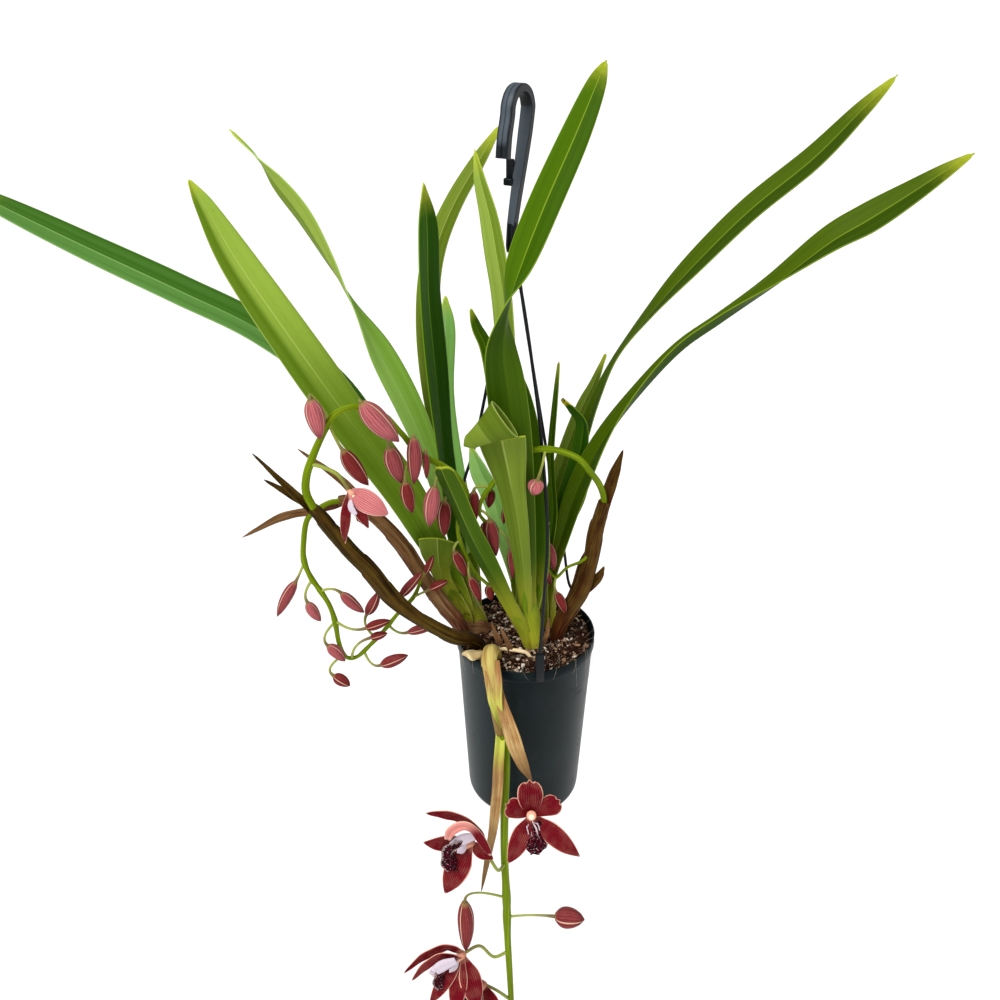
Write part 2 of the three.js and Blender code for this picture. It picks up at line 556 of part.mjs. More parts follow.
// Blooms: two whorls of three, each tepal given by [tip, width], round a short column, and the dark lip.
// The face is the way that the bloom looks, and a tepal that looks another way gives that third.
// The lip's stations are those of a blade.
const BLOOMS = {
  bloom_front: {
    centre: [4, -102, -116],
    face: [0, -0.82, 0.57],
    tepals: [[[2, -104, -75], 21], [[-17, -106, -100], 17], [[27, -106, -95], 17], [[-15, -126, -146], 17],
      [[44, -124, -140], 17]],
    lip: [[4, -107, -121, 6, 0, -30], [6, -113, -123, 16, 0, -35], [7, -120, -128, 15, 0, -20],
      [7, -123, -138, 12, 0, 0]],
  },
  bloom_left: {
    centre: [-47, -96, -155],
    face: [-0.8, -0.5, -0.2],
    tepals: [[[-84, -104, -113], 13, [-0.5, -0.6, -0.2]], [[-72, -114, -122], 17, [-0.1, -0.8, 0.5]],
      [[-86, -112, -137], 14, [-0.2, -0.8, 0.5]], [[-69, -118, -192], 22, [-0.2, -0.8, 0.5]],
      [[-28, -100, -171], 13, [-0.1, -0.8, 0.5]]],
    lip: [[-52, -101, -151, 6, -60, -30], [-60, -108, -151, 15, -60, -35], [-63, -112, -157, 13, -60, -20],
      [-60, -113, -167, 10, -60, 0]],
  },
  bloom_lower: {
    centre: [-57, -96, -303],
    face: [-0.75, -0.5, -0.35],
    tepals: [[[-111, -112, -308], 15, [-0.4, -0.5, 0.2]], [[-103, -118, -307], 14, [-0.3, -0.5, 0.5]],
      [[-87, -118, -342], 14, [-0.2, -0.7, 0.5]], [[-43, -118, -349], 21, [0.3, -0.8, 0.5]],
      [[-64, -123, -352], 17, [-0.1, -0.8, 0.6]]],
    lip: [[-62, -101, -303, 6, -60, -30], [-70, -108, -306, 15, -60, -35], [-75, -112, -314, 13, -60, -20],
      [-73, -113, -326, 10, -60, 0]],
  },
  bloom_lowest_left: {
    centre: [-38, -89, -355],
    face: [-0.5, -0.55, -0.66],
    tepals: [[[-58, -90, -334], 14], [[-60, -114, -374], 14], [[-37, -96, -396], 16, [-0.2, -0.8, 0.5]],
      [[-66, -92, -392], 15, [-0.3, -0.8, 0.4]], [[-20, -118, -380], 15, [0.1, -0.7, 0.6]]],
    lip: [[-42, -94, -360, 6, -40, -30], [-47, -101, -365, 14, -40, -35], [-51, -106, -373, 12, -40, -20],
      [-50, -107, -383, 9, -40, 0]],
  },
  bloom_lowest_right: {
    centre: [26, -92, -406],
    face: [0.55, -0.8, -0.2],
    tepals: [[[28, -96, -368], 18], [[0, -108, -398], 13], [[56, -104, -388], 13], [[12, -112, -440], 16],
      [[52, -110, -438], 16]],
    lip: [[29, -98, -409, 6, 30, -30], [33, -105, -411, 15, 30, -35], [37, -110, -417, 13, 30, -20],
      [37, -111, -427, 10, 30, 0]],
  },
  bloom_upper: {
    centre: [-131, -73, 177],
    face: [0.6, -0.5, -0.6],
    tepals: [[[-103, -80, 161], 16, [0.15, -0.85, 0.5]], [[-110, -66, 163], 13], [[-136, -77, 135], 8, [-0.1, -0.8, 0.3]],
      [[-117, -84, 152], 9, [0.2, -0.8, 0.3]]],
    lip: [[-128, -76, 172, 5, 0, -30], [-124, -79, 163, 8, 0, -30], [-121, -80, 154, 6, 0, -20]],
  },
};

// Small dry pieces on the soil
const DRIED_SHEATH = [[-28, 2, -2, 6, 60, 25], [-40, -2, 4, 9, 70, 25], [-52, -5, 6, 7, 75, 20],
  [-63, -7, 7, 2, 75, 10]];
const CUT_BULB = [[-37, -37, -14, 3.5, 3.5], [-38, -37, -5, 4, 4], [-38, -37, 1, 4, 4], [-45, -43, 6, 7, 6],
  [-49, -47, 10, 4, 3]];
const AERIAL_ROOT = [[-27, -22, -10, 1.4], [-20, -28, 0, 1.4], [-10, -32, 2, 1.4], [0, -33, 0, 1.4],
  [6, -35, -8, 1.3], [9, -37, -14, 1.2]];

// Leaves, each set in its growth, and the growths cut to take them
function leafShape({ stations, steps }, grow = 0) {
  return blade(stations, steps, LEAF_THICKNESS, grow);
}

// The rolled end of the curled leaf: a thin-walled cone that is open at its mouth
function rolledEnd({ fold, mouth }) {
  const outside = stalk([fold, mouth], 12, 3);
  const [start, end] = [vector(fold), vector(mouth)];
  const inner = [start.clone().lerp(end, 0.06), start.clone().lerp(end, 1.02)];
  const inside = stalk([
    [...inner[0].toArray(), fold[3] - LEAF_THICKNESS],
    [...inner[1].toArray(), mouth[3] - LEAF_THICKNESS],
  ], 12, 3);
  return carve(toSolid(outside), [inside]);
}

for (const [side, rows] of Object.entries(GROWTHS)) {
  const leaves = Object.entries(LEAVES[side]);
  const slots = leaves.map(([, leaf]) => leafShape(leaf, GAP));
  const stalks = Object.values(STALKS).map(({ path }) => stalk(path, 8, path.length * 2, GAP));
  addPiece(`growth_${side}`, carve(toSolid(growthBody(rows)), [...slots, ...stalks]), GROWTH_GREEN);
  for (const [name, leaf] of leaves) {
    const curled = name === 'leaf_middle_curled';
    const shape = curled ? toSolid(leafShape(leaf)).add(rolledEnd(CURLED_END)) : leafShape(leaf);
    addPiece(name, shape, BLUE_GREEN_LEAVES.includes(name) ? LEAF_BLUE_GREEN : LEAF_GREEN);
  }
}

// Six-sided rings along a row of [point, direction, radius], turned as little as may be from one to the next
function roundBody(row) {
  let side = new THREE.Vector3().crossVectors(row[0][1], FRONT);
  return skin(row.map(([point, direction, radius]) => {
    side = side.addScaledVector(direction, -side.dot(direction)).normalize();
    const other = new THREE.Vector3().crossVectors(direction, side);
    const ring = [];
    for (let j = 0; j < 6; j++) {
      const angle = (Math.PI * j) / 3;
      ring.push(point.clone()
        .addScaledVector(side, radius * Math.cos(angle))
        .addScaledVector(other, radius * Math.sin(angle)));
    }
    return ring;
  }));
}

function budRow(base, tip, width) {
  const axis = tip.clone().sub(base);
  const direction = axis.clone().normalize();
  const profile = [[0, 0.5], [0.3, 1], [0.68, 0.75], [1, 0.12]];
  return profile.map(([along, girth]) => [base.clone().addScaledVector(axis, along), direction, (girth * width) / 2]);
}

// Racemes, each with its stem seated in the mouth of its sheath
const PEDICEL_RADIUS = 1.1;

function budOnPedicel(stem, [station, base, tip, width]) {
  const start = stem.getPoint(station / (stem.points.length - 1));
  const row = budRow(vector(base), vector(tip), width);
  const [foot, direction] = row[0];
  const bend = foot.clone().addScaledVector(direction, -start.distanceTo(foot) * 0.5);
  const pedicel = new THREE.QuadraticBezierCurve3(start, bend, foot);
  const neck = [0, 0.5].map((t) => [pedicel.getPoint(t), pedicel.getTangent(t), PEDICEL_RADIUS]);
  return roundBody([...neck, ...row]);
}

function bloomPedicel(stem, [station, points], grow = 0) {
  const start = stem.getPoint(station / (stem.points.length - 1));
  const path = smoothCurve([start, ...points.map(vector)]);
  return wire(path, PEDICEL_RADIUS + 0.4 + grow, 4, 5);
}

const sockets = {};
const bloomPedicels = [];
for (const [name, { socket, stem: stations, buds, blooms }] of Object.entries(RACEMES)) {
  const stem = smoothCurve(stations.map(vector));
  const steps = Math.round(stations.length * 1.2);
  const budPieces = buds.map((bud) => budOnPedicel(stem, bud));
  const bloomPieces = blooms.map((bloom) => bloomPedicel(stem, bloom));
  addPiece(name, fuse([stalk(stations, 6, steps), ...budPieces, ...bloomPieces]), STEM_GREEN);
  sockets[socket] = [...(sockets[socket] ?? []), stalk(stations, 6, steps, GAP)];
  bloomPedicels.push(...blooms.map((bloom) => bloomPedicel(stem, bloom, GAP)));
}

for (const [name, { color, path, tips, twigs = [] }] of Object.entries(STALKS)) {
  const sheaths = tips.map((stations) => blade(stations, stations.length + 1, SHEATH_THICKNESS));
  const dryStems = twigs.map((stations) => stalk(stations, 4, 5));
  const body = fuse([stalk(path, 8, path.length * 2), ...sheaths, ...dryStems]);
  addPiece(name, carve(body, sockets[name]), color);
}

// Blooms and lips
function tepal(centre, look, [tip, width, ownLook]) {
  const end = vector(tip);
  const along = end.clone().sub(centre);
  const face = ownLook ? vector(ownLook).normalize() : look;
  const across = new THREE.Vector3().crossVectors(along, face).normalize();
  const profile = [[0.05, 0.2, 0], [0.35, 0.9, 0.7], [0.72, 0.9, 0.9], [1, 0.1, 0]];
  return skin(profile.map(([share, girth, bow]) => {
    const point = centre.clone().addScaledVector(along, share).addScaledVector(face, bow * along.length() * 0.1);
    return bladeRing(point, along.clone().normalize(), across, Math.max(1, width * girth) / 2, 12, PETAL_THICKNESS / 2);
  }));
}

function bloomShape({ centre, face, tepals }) {
  const heart = vector(centre);
  const look = vector(face).normalize();
  const receptacle = new THREE.OctahedronGeometry(3.6, 1).translate(...centre);
  const column = roundBody(budRow(heart, heart.clone().addScaledVector(look, 11).addScaledVector(UP, 2), 7));
  return fuse([receptacle, column, ...tepals.map((row) => tepal(heart, look, row))]);
}

for (const [name, bloom] of Object.entries(BLOOMS)) {
  const lipRoom = blade(bloom.lip, 5, PETAL_THICKNESS, GAP);
  addPiece(name, carve(bloomShape(bloom), [lipRoom, ...bloomPedicels]), BURGUNDY);
  addPiece(name.replace('bloom', 'lip'), blade(bloom.lip, 5, PETAL_THICKNESS), LIP_MAROON);
}

// Dry pieces, cut clear of what stands in them
const stalkRoots = Object.values(STALKS).map(({ path }) => stalk(path, 8, path.length * 2, GAP));
const growthRoots = Object.values(GROWTHS).map((rows) => growthBody(rows, GAP));
const leafRoots = Object.values(LEAVES).flatMap((leaves) => Object.values(leaves).map((leaf) => leafShape(leaf, GAP)));
addPiece('dried_sheath', carve(toSolid(blade(DRIED_SHEATH, 6, SHEATH_THICKNESS)), [...stalkRoots, ...growthRoots]), SHEATH_TAN);
addPiece('old_cut_bulb', carve(toSolid(growthBody(CUT_BULB)), stalkRoots), SHEATH_TAN);
addPiece('aerial_root', carve(toSolid(stalk(AERIAL_ROOT, 6, 10)), [...growthRoots, ...stalkRoots]), SHEATH_TAN);

// Potting bark: fills the pot, lumpy on top, with a plain hole for everything that stands in it
function soilLump(x, y) {
  const radius = Math.hypot(x, y);
  const mound = 5 * (1 - (radius / POT_RIM_RADIUS) ** 2);
  const lumps = Math.sin(x * 0.9 + 1) * Math.sin(y * 1.1) + 0.7 * Math.sin(x * 0.37 - y * 0.61);
  return mound - SOIL_BELOW_RIM + 1.3 * lumps;
}

function makeSoil() {
  const side = POT_WALL + GAP;
  const outer = corner(POT_CORNER - side, FOOT_RADIUS, POT_CORNER - POT_HEIGHT).reverse();
  const top = [];
  for (let i = 0; i <= 4; i++) top.push([(POT_RIM_RADIUS - 1.4 - side - 0.5) * (1 - i / 4), -SOIL_BELOW_RIM]);
  const profile = [[0, outer[0][1] + 2], [FOOT_RADIUS - 8, outer[0][1] + 2], ...outer.slice(1), ...top];
  profile[profile.length - 1][0] = 0;
  const geometry = turned(profile, 24);
  const place = geometry.attributes.position;
  for (let i = 0; i < place.count; i++) {
    if (place.getZ(i) > -SOIL_BELOW_RIM - 0.01) place.setZ(i, soilLump(place.getX(i), place.getY(i)));
  }
  return toSolid(geometry);
}

const roots = [...stalkRoots, ...growthRoots, ...leafRoots];
const drySolids = [growthBody(CUT_BULB, GAP), stalk(AERIAL_ROOT, 6, 10, GAP), blade(DRIED_SHEATH, 6, SHEATH_THICKNESS, GAP)];
addPiece('potting_bark', carve(makeSoil(), [...roots, ...drySolids]), SOIL_BROWN);
addPiece('pot', makePot(), BLACK_GREEN);

// Hanger: a hook with a tapering shank, an eye below it, and three strands that end in rim clips
const HOOK_CENTRE_Z = -HOOK_INNER_RADIUS;
const HOOK_OUTER_RADIUS = HOOK_INNER_RADIUS + HOOK_BAND;
const HOOK_TURN = THREE.MathUtils.degToRad(62);
const TIP_LEG = 27;
const TIP_FLARE = 6;
const SHANK_START = -26;
const SHANK_END = -86;
const SHANK_TAPER = 0.36; // share of its width that the shank loses on its way down

function makeHook() {
  const outline = new THREE.Shape();
  outline.moveTo(-HOOK_INNER_RADIUS - TIP_FLARE, HOOK_CENTRE_Z - TIP_LEG);
  outline.lineTo(-HOOK_OUTER_RADIUS - TIP_FLARE - 0.7, HOOK_CENTRE_Z - TIP_LEG);
  outline.lineTo(-HOOK_OUTER_RADIUS - TIP_FLARE + 0.5, HOOK_CENTRE_Z - TIP_LEG + 13);
  outline.absarc(0, HOOK_CENTRE_Z, HOOK_OUTER_RADIUS, Math.PI, 0, true);
  outline.quadraticCurveTo(7, -38, -4, SHANK_END);
  outline.lineTo(-11, SHANK_END);
  outline.quadraticCurveTo(1, -38, HOOK_INNER_RADIUS, HOOK_CENTRE_Z);
  outline.absarc(0, HOOK_CENTRE_Z, HOOK_INNER_RADIUS, 0, Math.PI, false);
  outline.closePath();
  const band = new THREE.ExtrudeGeometry(outline, {
    depth: HOOK_WIDTH - 1.6, bevelThickness: 0.8, bevelSize: 0.8, bevelOffset: -0.8, bevelSegments: 1, curveSegments: 10,
  });
  band.translate(0, 0, -(HOOK_WIDTH - 1.6) / 2);
  const place = band.attributes.position;
  for (let i = 0; i < place.count; i++) {
    const down = Math.max(0, SHANK_START - place.getY(i)) / (SHANK_START - SHANK_END);
    place.setZ(i, place.getZ(i) * (1 - SHANK_TAPER * down));
  }
  band.rotateX(Math.PI / 2).rotateZ(HOOK_TURN);
  return band;
}

function hookPoint(alongBand, height) {
  return new THREE.Vector3(alongBand * Math.cos(HOOK_TURN), alongBand * Math.sin(HOOK_TURN), height);
}

const EYE_BOTTOM = -104;
const eyeTop = hookPoint(-7.5, SHANK_END + 2);
const eyeBottom = hookPoint(-7, EYE_BOTTOM);
const eye = stalk([[...eyeTop.toArray(), 3.8], [...eyeBottom.toArray(), 4.6]], 8, 1);
const spur = new THREE.BoxGeometry(4, 7, 5).translate(-1.5, 6, -58).rotateZ(HOOK_TURN);
const tab = new THREE.BoxGeometry(2, 6, 14).translate(1, 6.2, -50).rotateZ(HOOK_TURN);
addPiece('hanger_hook', fuse([makeHook(), eye, spur, tab]), HOOK_BLACK, pieces);

// Strand routes from the eye to the rim clips, laid out from the centre of the rim
const STRANDS = {
  front: [[-12.5, -9, 331.5], [-6, -13, 300], [1, -17, 256], [9, -24, 196], [15, -37, 122], [13, -50, 70]],
  right: [[-10.5, -4, 331.5], [-3, 8, 276], [14, 22, 172], [21.5, 28.8, 128], [27.5, 32.2, 95], [34, 36, 58],
    [39, 39.5, 24]],
  left: [[-14.5, -4.5, 331.5], [-22, 2, 281], [-41, 8, 178], [-51, 11, 140], [-57, 14, 100], [-61, 15, 66],
    [-65, 18, 39], [-66, 20.5, 18]],
};
const CLIP_TOPS = { front: 19, right: 13, left: 10 };

// Outline of a clip, as [radius, height]: it grips the rim inside and out and stands above it
function clipOutline(top) {
  return [[56, -4.5], [57.6, -4.5], [57.6, 0.3], [60.3, 0.3], [60.3, -7], [60.9, -8], [62.4, -8], [62.6, 2],
    [61.4, top], [58.2, top], [56, 4]];
}

function makeStrand(side, route) {
  const azimuth = THREE.MathUtils.degToRad(CLIP_AZIMUTHS[side]);
  const top = CLIP_TOPS[side];
  const clipTop = new THREE.Vector3(59.8 * Math.cos(azimuth), 59.8 * Math.sin(azimuth), top - 1);
  const strand = wire(smoothCurve([...route.map(vector), clipTop]), STRAND_RADIUS, 6, route.length * 3);
  const outline = new THREE.Shape(clipOutline(top).map(([r, z]) => new THREE.Vector2(r, z)));
  const clip = new THREE.ExtrudeGeometry(outline, { depth: CLIP_WIDTH, bevelEnabled: false });
  clip.translate(0, 0, -CLIP_WIDTH / 2).rotateX(Math.PI / 2).rotateZ(azimuth);
  return fuse([strand, clip]);
}

for (const [side, route] of Object.entries(STRANDS)) {
  addPiece(`hanger_strand_${side}`, makeStrand(side, route), HOOK_BLACK);
}

export default pieces;
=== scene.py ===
# A cymbidium orchid in a hanging nursery pot, dressed over its solid model
import math
import random

import bmesh
import bpy
from mathutils import Euler, Matrix, Quaternion, Vector, noise


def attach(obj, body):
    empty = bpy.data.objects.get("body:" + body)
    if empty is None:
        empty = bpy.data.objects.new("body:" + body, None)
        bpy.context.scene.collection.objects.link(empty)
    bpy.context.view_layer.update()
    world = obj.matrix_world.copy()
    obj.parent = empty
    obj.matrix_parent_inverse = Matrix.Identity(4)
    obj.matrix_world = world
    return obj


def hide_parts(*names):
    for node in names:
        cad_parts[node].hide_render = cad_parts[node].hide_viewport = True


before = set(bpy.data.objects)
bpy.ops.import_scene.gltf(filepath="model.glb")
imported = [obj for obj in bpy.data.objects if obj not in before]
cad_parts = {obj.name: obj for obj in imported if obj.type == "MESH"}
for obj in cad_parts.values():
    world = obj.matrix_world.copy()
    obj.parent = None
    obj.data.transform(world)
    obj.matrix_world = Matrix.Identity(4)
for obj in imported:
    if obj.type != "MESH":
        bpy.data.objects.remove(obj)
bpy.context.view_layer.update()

# Pot
# A thin moulded nursery pot of satin black-green plastic, with a band round its rim, a rounded bottom
# edge, a foot ring and six drain holes. It hangs level from the three clips on its rim.
RIM_CENTRE = Vector((0.010, 0, -0.436))
POT_OUTSIDE = [[58.5, -0.3], [58.9, 0], [59.6, 0], [60, -0.4], [60, -9.6], [59.7, -10.2], [58.8, -10.7],
               [58.5, -11.6], [51, -166], [50.6, -169], [49.5, -171.8], [47.5, -174.2], [44.6, -175.6],
               [41, -176], [35.2, -176], [34.7, -175.6], [34.2, -173.5], [0, -173.5]]
POT_INSIDE = [[0, -171.5], [34, -171.5], [41, -173.8], [44.2, -173.3], [46.8, -171.6], [48.6, -169.2],
              [49.4, -166], [56.9, -11.6], [57.9, -10.4], [58.4, -9.5]]
DRAIN_HOLES = 6
DRAIN_CIRCLE = 0.022
DRAIN_RADIUS = 0.0035
DRAIN_DRILL = 0.012
DRAIN_HEIGHT = -173
POT_STEPS = 96
POT_DARK = (18, 27, 29)
POT_LIGHT = (28, 38, 40)
POT_DUST = (120, 116, 100)
SATIN_SHINE = 0.07


def at(x, y, z):
    """A point given in millimetres from the centre of the pot's rim."""
    return RIM_CENTRE + Vector((x, y, z)) / 1000


def paint(red, green, blue):
    """A colour as the eye gives it, 0 to 255, in the linear light that a shader takes."""
    return tuple((level / 255) ** 2.2 for level in (red, green, blue)) + (1.0,)


class Wire:
    """An output of a node of a finish. Arithmetic on wires adds Math nodes."""

    def __init__(self, finish, socket):
        self.finish = finish
        self.socket = socket

    def maths(self, operation, first, second=0.0):
        return self.finish.node("ShaderNodeMath", {"operation": operation}, {0: first, 1: second})

    def __add__(self, other):
        return self.maths("ADD", self, other)

    def __sub__(self, other):
        return self.maths("SUBTRACT", self, other)

    def __rsub__(self, other):
        return self.maths("SUBTRACT", other, self)

    def __mul__(self, other):
        return self.maths("MULTIPLY", self, other)

    def __abs__(self):
        return self.maths("ABSOLUTE", self)

    def __mod__(self, other):
        return self.maths("FLOORED_MODULO", self, other)

    __radd__ = __add__
    __rmul__ = __mul__


class Finish:
    """A material and its nodes. The constants are those of its one shader."""

    def __init__(self, name, constants):
        self.material = bpy.data.materials.new(name)
        self.material.use_nodes = True
        self.tree = self.material.node_tree
        self.shader = self.tree.nodes["Principled BSDF"]
        self.shader.inputs["Specular IOR Level"].default_value = SATIN_SHINE
        for socket, value in constants.items():
            self.shader.inputs[socket].default_value = value

    def node(self, kind, settings, values, output=0):
        node = self.tree.nodes.new(kind)
        for setting, value in settings.items():
            setattr(node, setting, value)
        for socket, value in values.items():
            self.feed(node.inputs[socket], value)
        return Wire(self, node.outputs[output])

    def feed(self, socket, value):
        if isinstance(value, Wire):
            self.tree.links.new(value.socket, socket)
        else:
            socket.default_value = value

    def place(self, kind):
        return self.node("ShaderNodeTexCoord", {}, {}, kind)

    def parts(self, vector):
        first = self.node("ShaderNodeSeparateXYZ", {}, {0: vector})
        return [Wire(self, output) for output in first.socket.node.outputs]

    def join(self, x, y, z):
        return self.node("ShaderNodeCombineXYZ", {}, {0: x, 1: y, 2: z})

    def attribute(self, name):
        return self.node("ShaderNodeAttribute", {"attribute_name": name}, {}, "Fac")

    def noise(self, vector, scale, detail=2.0):
        return self.node("ShaderNodeTexNoise", {}, {"Vector": vector, "Scale": scale, "Detail": detail})

    def rise(self, value, low, high):
        values = {"Value": value, "From Min": low, "From Max": high}
        return self.node("ShaderNodeMapRange", {"interpolation_type": "SMOOTHSTEP"}, values)

    def mix(self, share, first, second):
        return self.node("ShaderNodeMix", {"data_type": "RGBA"}, {0: share, 6: first, 7: second}, 2)

    def show(self, color, roughness, height, depth, strength=0.6):
        """Feeds the shader its colour, its roughness and a bump of a depth in metres."""
        relief = {"Height": height, "Distance": depth, "Strength": strength}
        bump = self.node("ShaderNodeBump", {}, relief)
        self.feed(self.shader.inputs["Base Color"], color)
        self.feed(self.shader.inputs["Roughness"], roughness)
        self.feed(self.shader.inputs["Normal"], bump)


def make_piece(name, bm, finishes, sharp=180, thickness=0, backed=False):
    """Makes a bmesh a smooth piece, with edges sharp past an angle in degrees. An open sheet is given
    its thickness, and a backed one has its second finish on its back."""
    for edge in bm.edges:
        if edge.is_manifold and edge.calc_face_angle() > math.radians(sharp):
            edge.smooth = False
    mesh = bpy.data.meshes.new(name)
    for face in bm.faces:
        face.smooth = True
    bm.to_mesh(mesh)
    bm.free()
    for finish in finishes:
        mesh.materials.append(finish.material)
    piece = bpy.data.objects.new(name, mesh)
    bpy.context.scene.collection.objects.link(piece)
    if thickness:
        solid = piece.modifiers.new("thickness", "SOLIDIFY")
        solid.thickness = thickness
        solid.offset = 0
        solid.material_offset = 1 if backed else 0
    return piece


def settle(piece, slot, *nodes):
    """Fixes a piece to the body, in place of the solids that it stands for."""
    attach(piece, "root")
    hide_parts(*nodes)


def spin_round(bm, profile, steps):
    """Spins a profile of [radius, height] about the pot's axis and closes it where it meets the axis."""
    verts = [bm.verts.new(at(radius, 0, height)) for radius, height in profile]
    edges = [bm.edges.new(pair) for pair in zip(verts, verts[1:])]
    bmesh.ops.spin(bm, geom=verts + edges, cent=RIM_CENTRE, axis=(0, 0, 1), angle=math.tau, steps=steps,
                   use_merge=True)
    bmesh.ops.remove_doubles(bm, verts=bm.verts, dist=1e-6)
    bmesh.ops.recalc_face_normals(bm, faces=bm.faces)


def cut_out(piece, cutter):
    """Cuts one object out of a piece and keeps the result as the piece's own mesh."""
    cut = piece.modifiers.new("cut", "BOOLEAN")
    cut.object = cutter
    cut.operation = "DIFFERENCE"
    solved = piece.evaluated_get(bpy.context.evaluated_depsgraph_get())
    whole = piece.data
    piece.data = bpy.data.meshes.new_from_object(solved)
    piece.modifiers.remove(cut)
    bpy.data.meshes.remove(whole)
    bpy.data.objects.remove(cutter)


pot_finish = Finish("pot_plastic", {"IOR": 1.5})
place = pot_finish.place("Object")
clouds = pot_finish.noise(place, 16, 3)
dust = pot_finish.rise(pot_finish.noise(place, 70, 4), 0.56, 0.8)
plastic = pot_finish.mix(pot_finish.rise(clouds, 0.3, 0.7), paint(*POT_DARK), paint(*POT_LIGHT))
plastic = pot_finish.mix(dust * 0.05, plastic, paint(*POT_DUST))
grain = pot_finish.noise(place, 1400, 1)
pot_finish.show(plastic, 0.3 + clouds * 0.12 + dust * 0.2, grain, 0.0002, 0.25)
bm = bmesh.new()
spin_round(bm, POT_INSIDE + POT_OUTSIDE, POT_STEPS)
pot = make_piece("pot_shell", bm, [pot_finish], sharp=50)
bm = bmesh.new()
for hole in range(DRAIN_HOLES):
    turn = math.tau * hole / DRAIN_HOLES
    centre = at(0, 0, DRAIN_HEIGHT) + Vector((math.cos(turn), math.sin(turn), 0)) * DRAIN_CIRCLE
    bmesh.ops.create_cone(bm, cap_ends=True, segments=20, radius1=DRAIN_RADIUS, radius2=DRAIN_RADIUS,
                          depth=DRAIN_DRILL, matrix=Matrix.Translation(centre))
cut_out(pot, make_piece("drain_drill", bm, [pot_finish]))
settle(pot, "pot_plastic", "pot")

# Potting bark
# Composted bark, coarse fibre and pale grit, filled to just under the rim and left lumpy. The chips lie
# loose on top, and fine dry roots run over them and hang across the rim.
random.seed(11)
BARK_SIDE = [[56.0, -11], [48.8, -166], [45, -172.4], [40, -173], [30, -171.2], [0, -171.2]]
BARK_RADIUS = 56.5
BARK_RINGS = 30
BARK_STEPS = 90
BARK_TOP_BAND = 0.001
MOUND_RADIUS = 60
MOUND_HEIGHT = 5
MOUND_EDGE = -6
CHIPS = 720
CHIP_SIZES = (1.0, 3.2)
GRITS = 520
GRIT_SIZES = (0.6, 2.3)
LUMP_REACH = 55.5
HAIRS = 170
HAIR_START = 54
HAIR_LIMIT = 55
HAIR_JOINTS = 5
HAIR_STEP = 3.2
HAIR_RADIUS = 0.13
RIM_HAIRS = [[200, 14], [206, 22], [213, 9], [221, 16], [231, 26], [238, 8], [247, 12], [263, 7],
             [296, 9], [309, 30], [316, 12], [324, 44], [331, 18], [339, 36], [347, 24], [354, 14],
             [12, 10], [60, 12], [110, 16], [150, 12]]
RIM_HAIR_RADIUS = 0.1
BARK_DARK = (20, 13, 10)
BARK_BROWN = (72, 46, 34)
BARK_TAN = (176, 140, 108)
GRIT_PALE = (248, 238, 222)
HAIR_PALE = (196, 184, 162)


def bark_height(x, y):
    """Height of the bark over the rim, in millimetres."""
    mound = MOUND_HEIGHT * (1 - (x * x + y * y) / MOUND_RADIUS ** 2) + MOUND_EDGE
    lumps = math.sin(x * 0.9 + 1) * math.sin(y * 1.1) + 0.7 * math.sin(x * 0.37 - y * 0.61)
    return mound + 1.3 * lumps + 1.4 * noise.fractal(Vector((x, y, 0)) * 0.21, 0.7, 2.0, 4)


def along_rows(rows, place):
    """The values at a place along rows of numbers, on a smooth curve through them."""
    last = len(rows) - 1
    before = min(int(place), last - 1)
    share = place - before
    first, second = rows[before], rows[before + 1]
    left = rows[before - 1] if before > 0 else [2 * a - b for a, b in zip(first, second)]
    right = rows[before + 2] if before + 2 <= last else [2 * b - a for a, b in zip(first, second)]
    values = []
    for a, b, c, d in zip(left, first, second, right):
        leaving = (c - a) / 2
        arriving = (d - b) / 2
        square = 3 * (c - b) - 2 * leaving - arriving
        cube = 2 * (b - c) + leaving + arriving
        values.append(b + share * (leaving + share * (square + share * cube)))
    return values


def heading(rows, place):
    """The direction in which the curve through rows runs at a place."""
    before = Vector(along_rows(rows, max(place - 0.01, 0))[:3])
    after = Vector(along_rows(rows, min(place + 0.01, len(rows) - 1))[:3])
    return (after - before).normalized()


def unit_grid(bm, columns, rows):
    """Adds a flat grid from -1 to 1 with its UV map, to be bent to shape, and gives its vertices."""
    grid = bmesh.ops.create_grid(bm, x_segments=columns, y_segments=rows, size=1, calc_uvs=True)
    return grid["verts"]


def sleeve(bm, point_at, sides, steps, tint=None):
    """Adds a closed sleeve through point_at(angle, along), drawn together at both ends."""
    verts = unit_grid(bm, sides, steps + 2)
    angles = [math.tau * side / sides for side in range(sides)]
    ends = [sum((point_at(angle, end) for angle in angles), Vector()) / sides for end in (0, 1)]
    for vert in verts:
        row = round((vert.co.y + 1) / 2 * (steps + 2)) - 1
        side = round((vert.co.x + 1) / 2 * sides) % sides
        if tint is not None:
            vert[bm.verts.layers.float["tint"]] = tint
        if row < 0:
            vert.co = ends[0]
        elif row > steps:
            vert.co = ends[1]
        else:
            vert.co = point_at(angles[side], row / steps)
    bmesh.ops.remove_doubles(bm, verts=verts, dist=1e-7)


def tube(bm, rows, sides, steps, tint=None, swell=None):
    """Adds a round body along rows of [x, y, z, radius], swollen by swell(angle, along) where given."""
    rings = []
    side = None
    for step in range(steps + 1):
        place = (len(rows) - 1) * step / steps
        direction = heading(rows, place)
        side = side or direction.orthogonal()
        side = (side - direction * side.dot(direction)).normalized()
        x, y, z, radius = along_rows(rows, place)
        rings.append((at(x, y, z), side, direction.cross(side), max(radius, 0.02) / 1000))

    def point_at(angle, along):
        centre, side, other, radius = rings[round(along * steps)]
        radius *= swell(angle, along) if swell else 1
        return centre + (side * math.cos(angle) + other * math.sin(angle)) * radius

    sleeve(bm, point_at, sides, steps, tint)


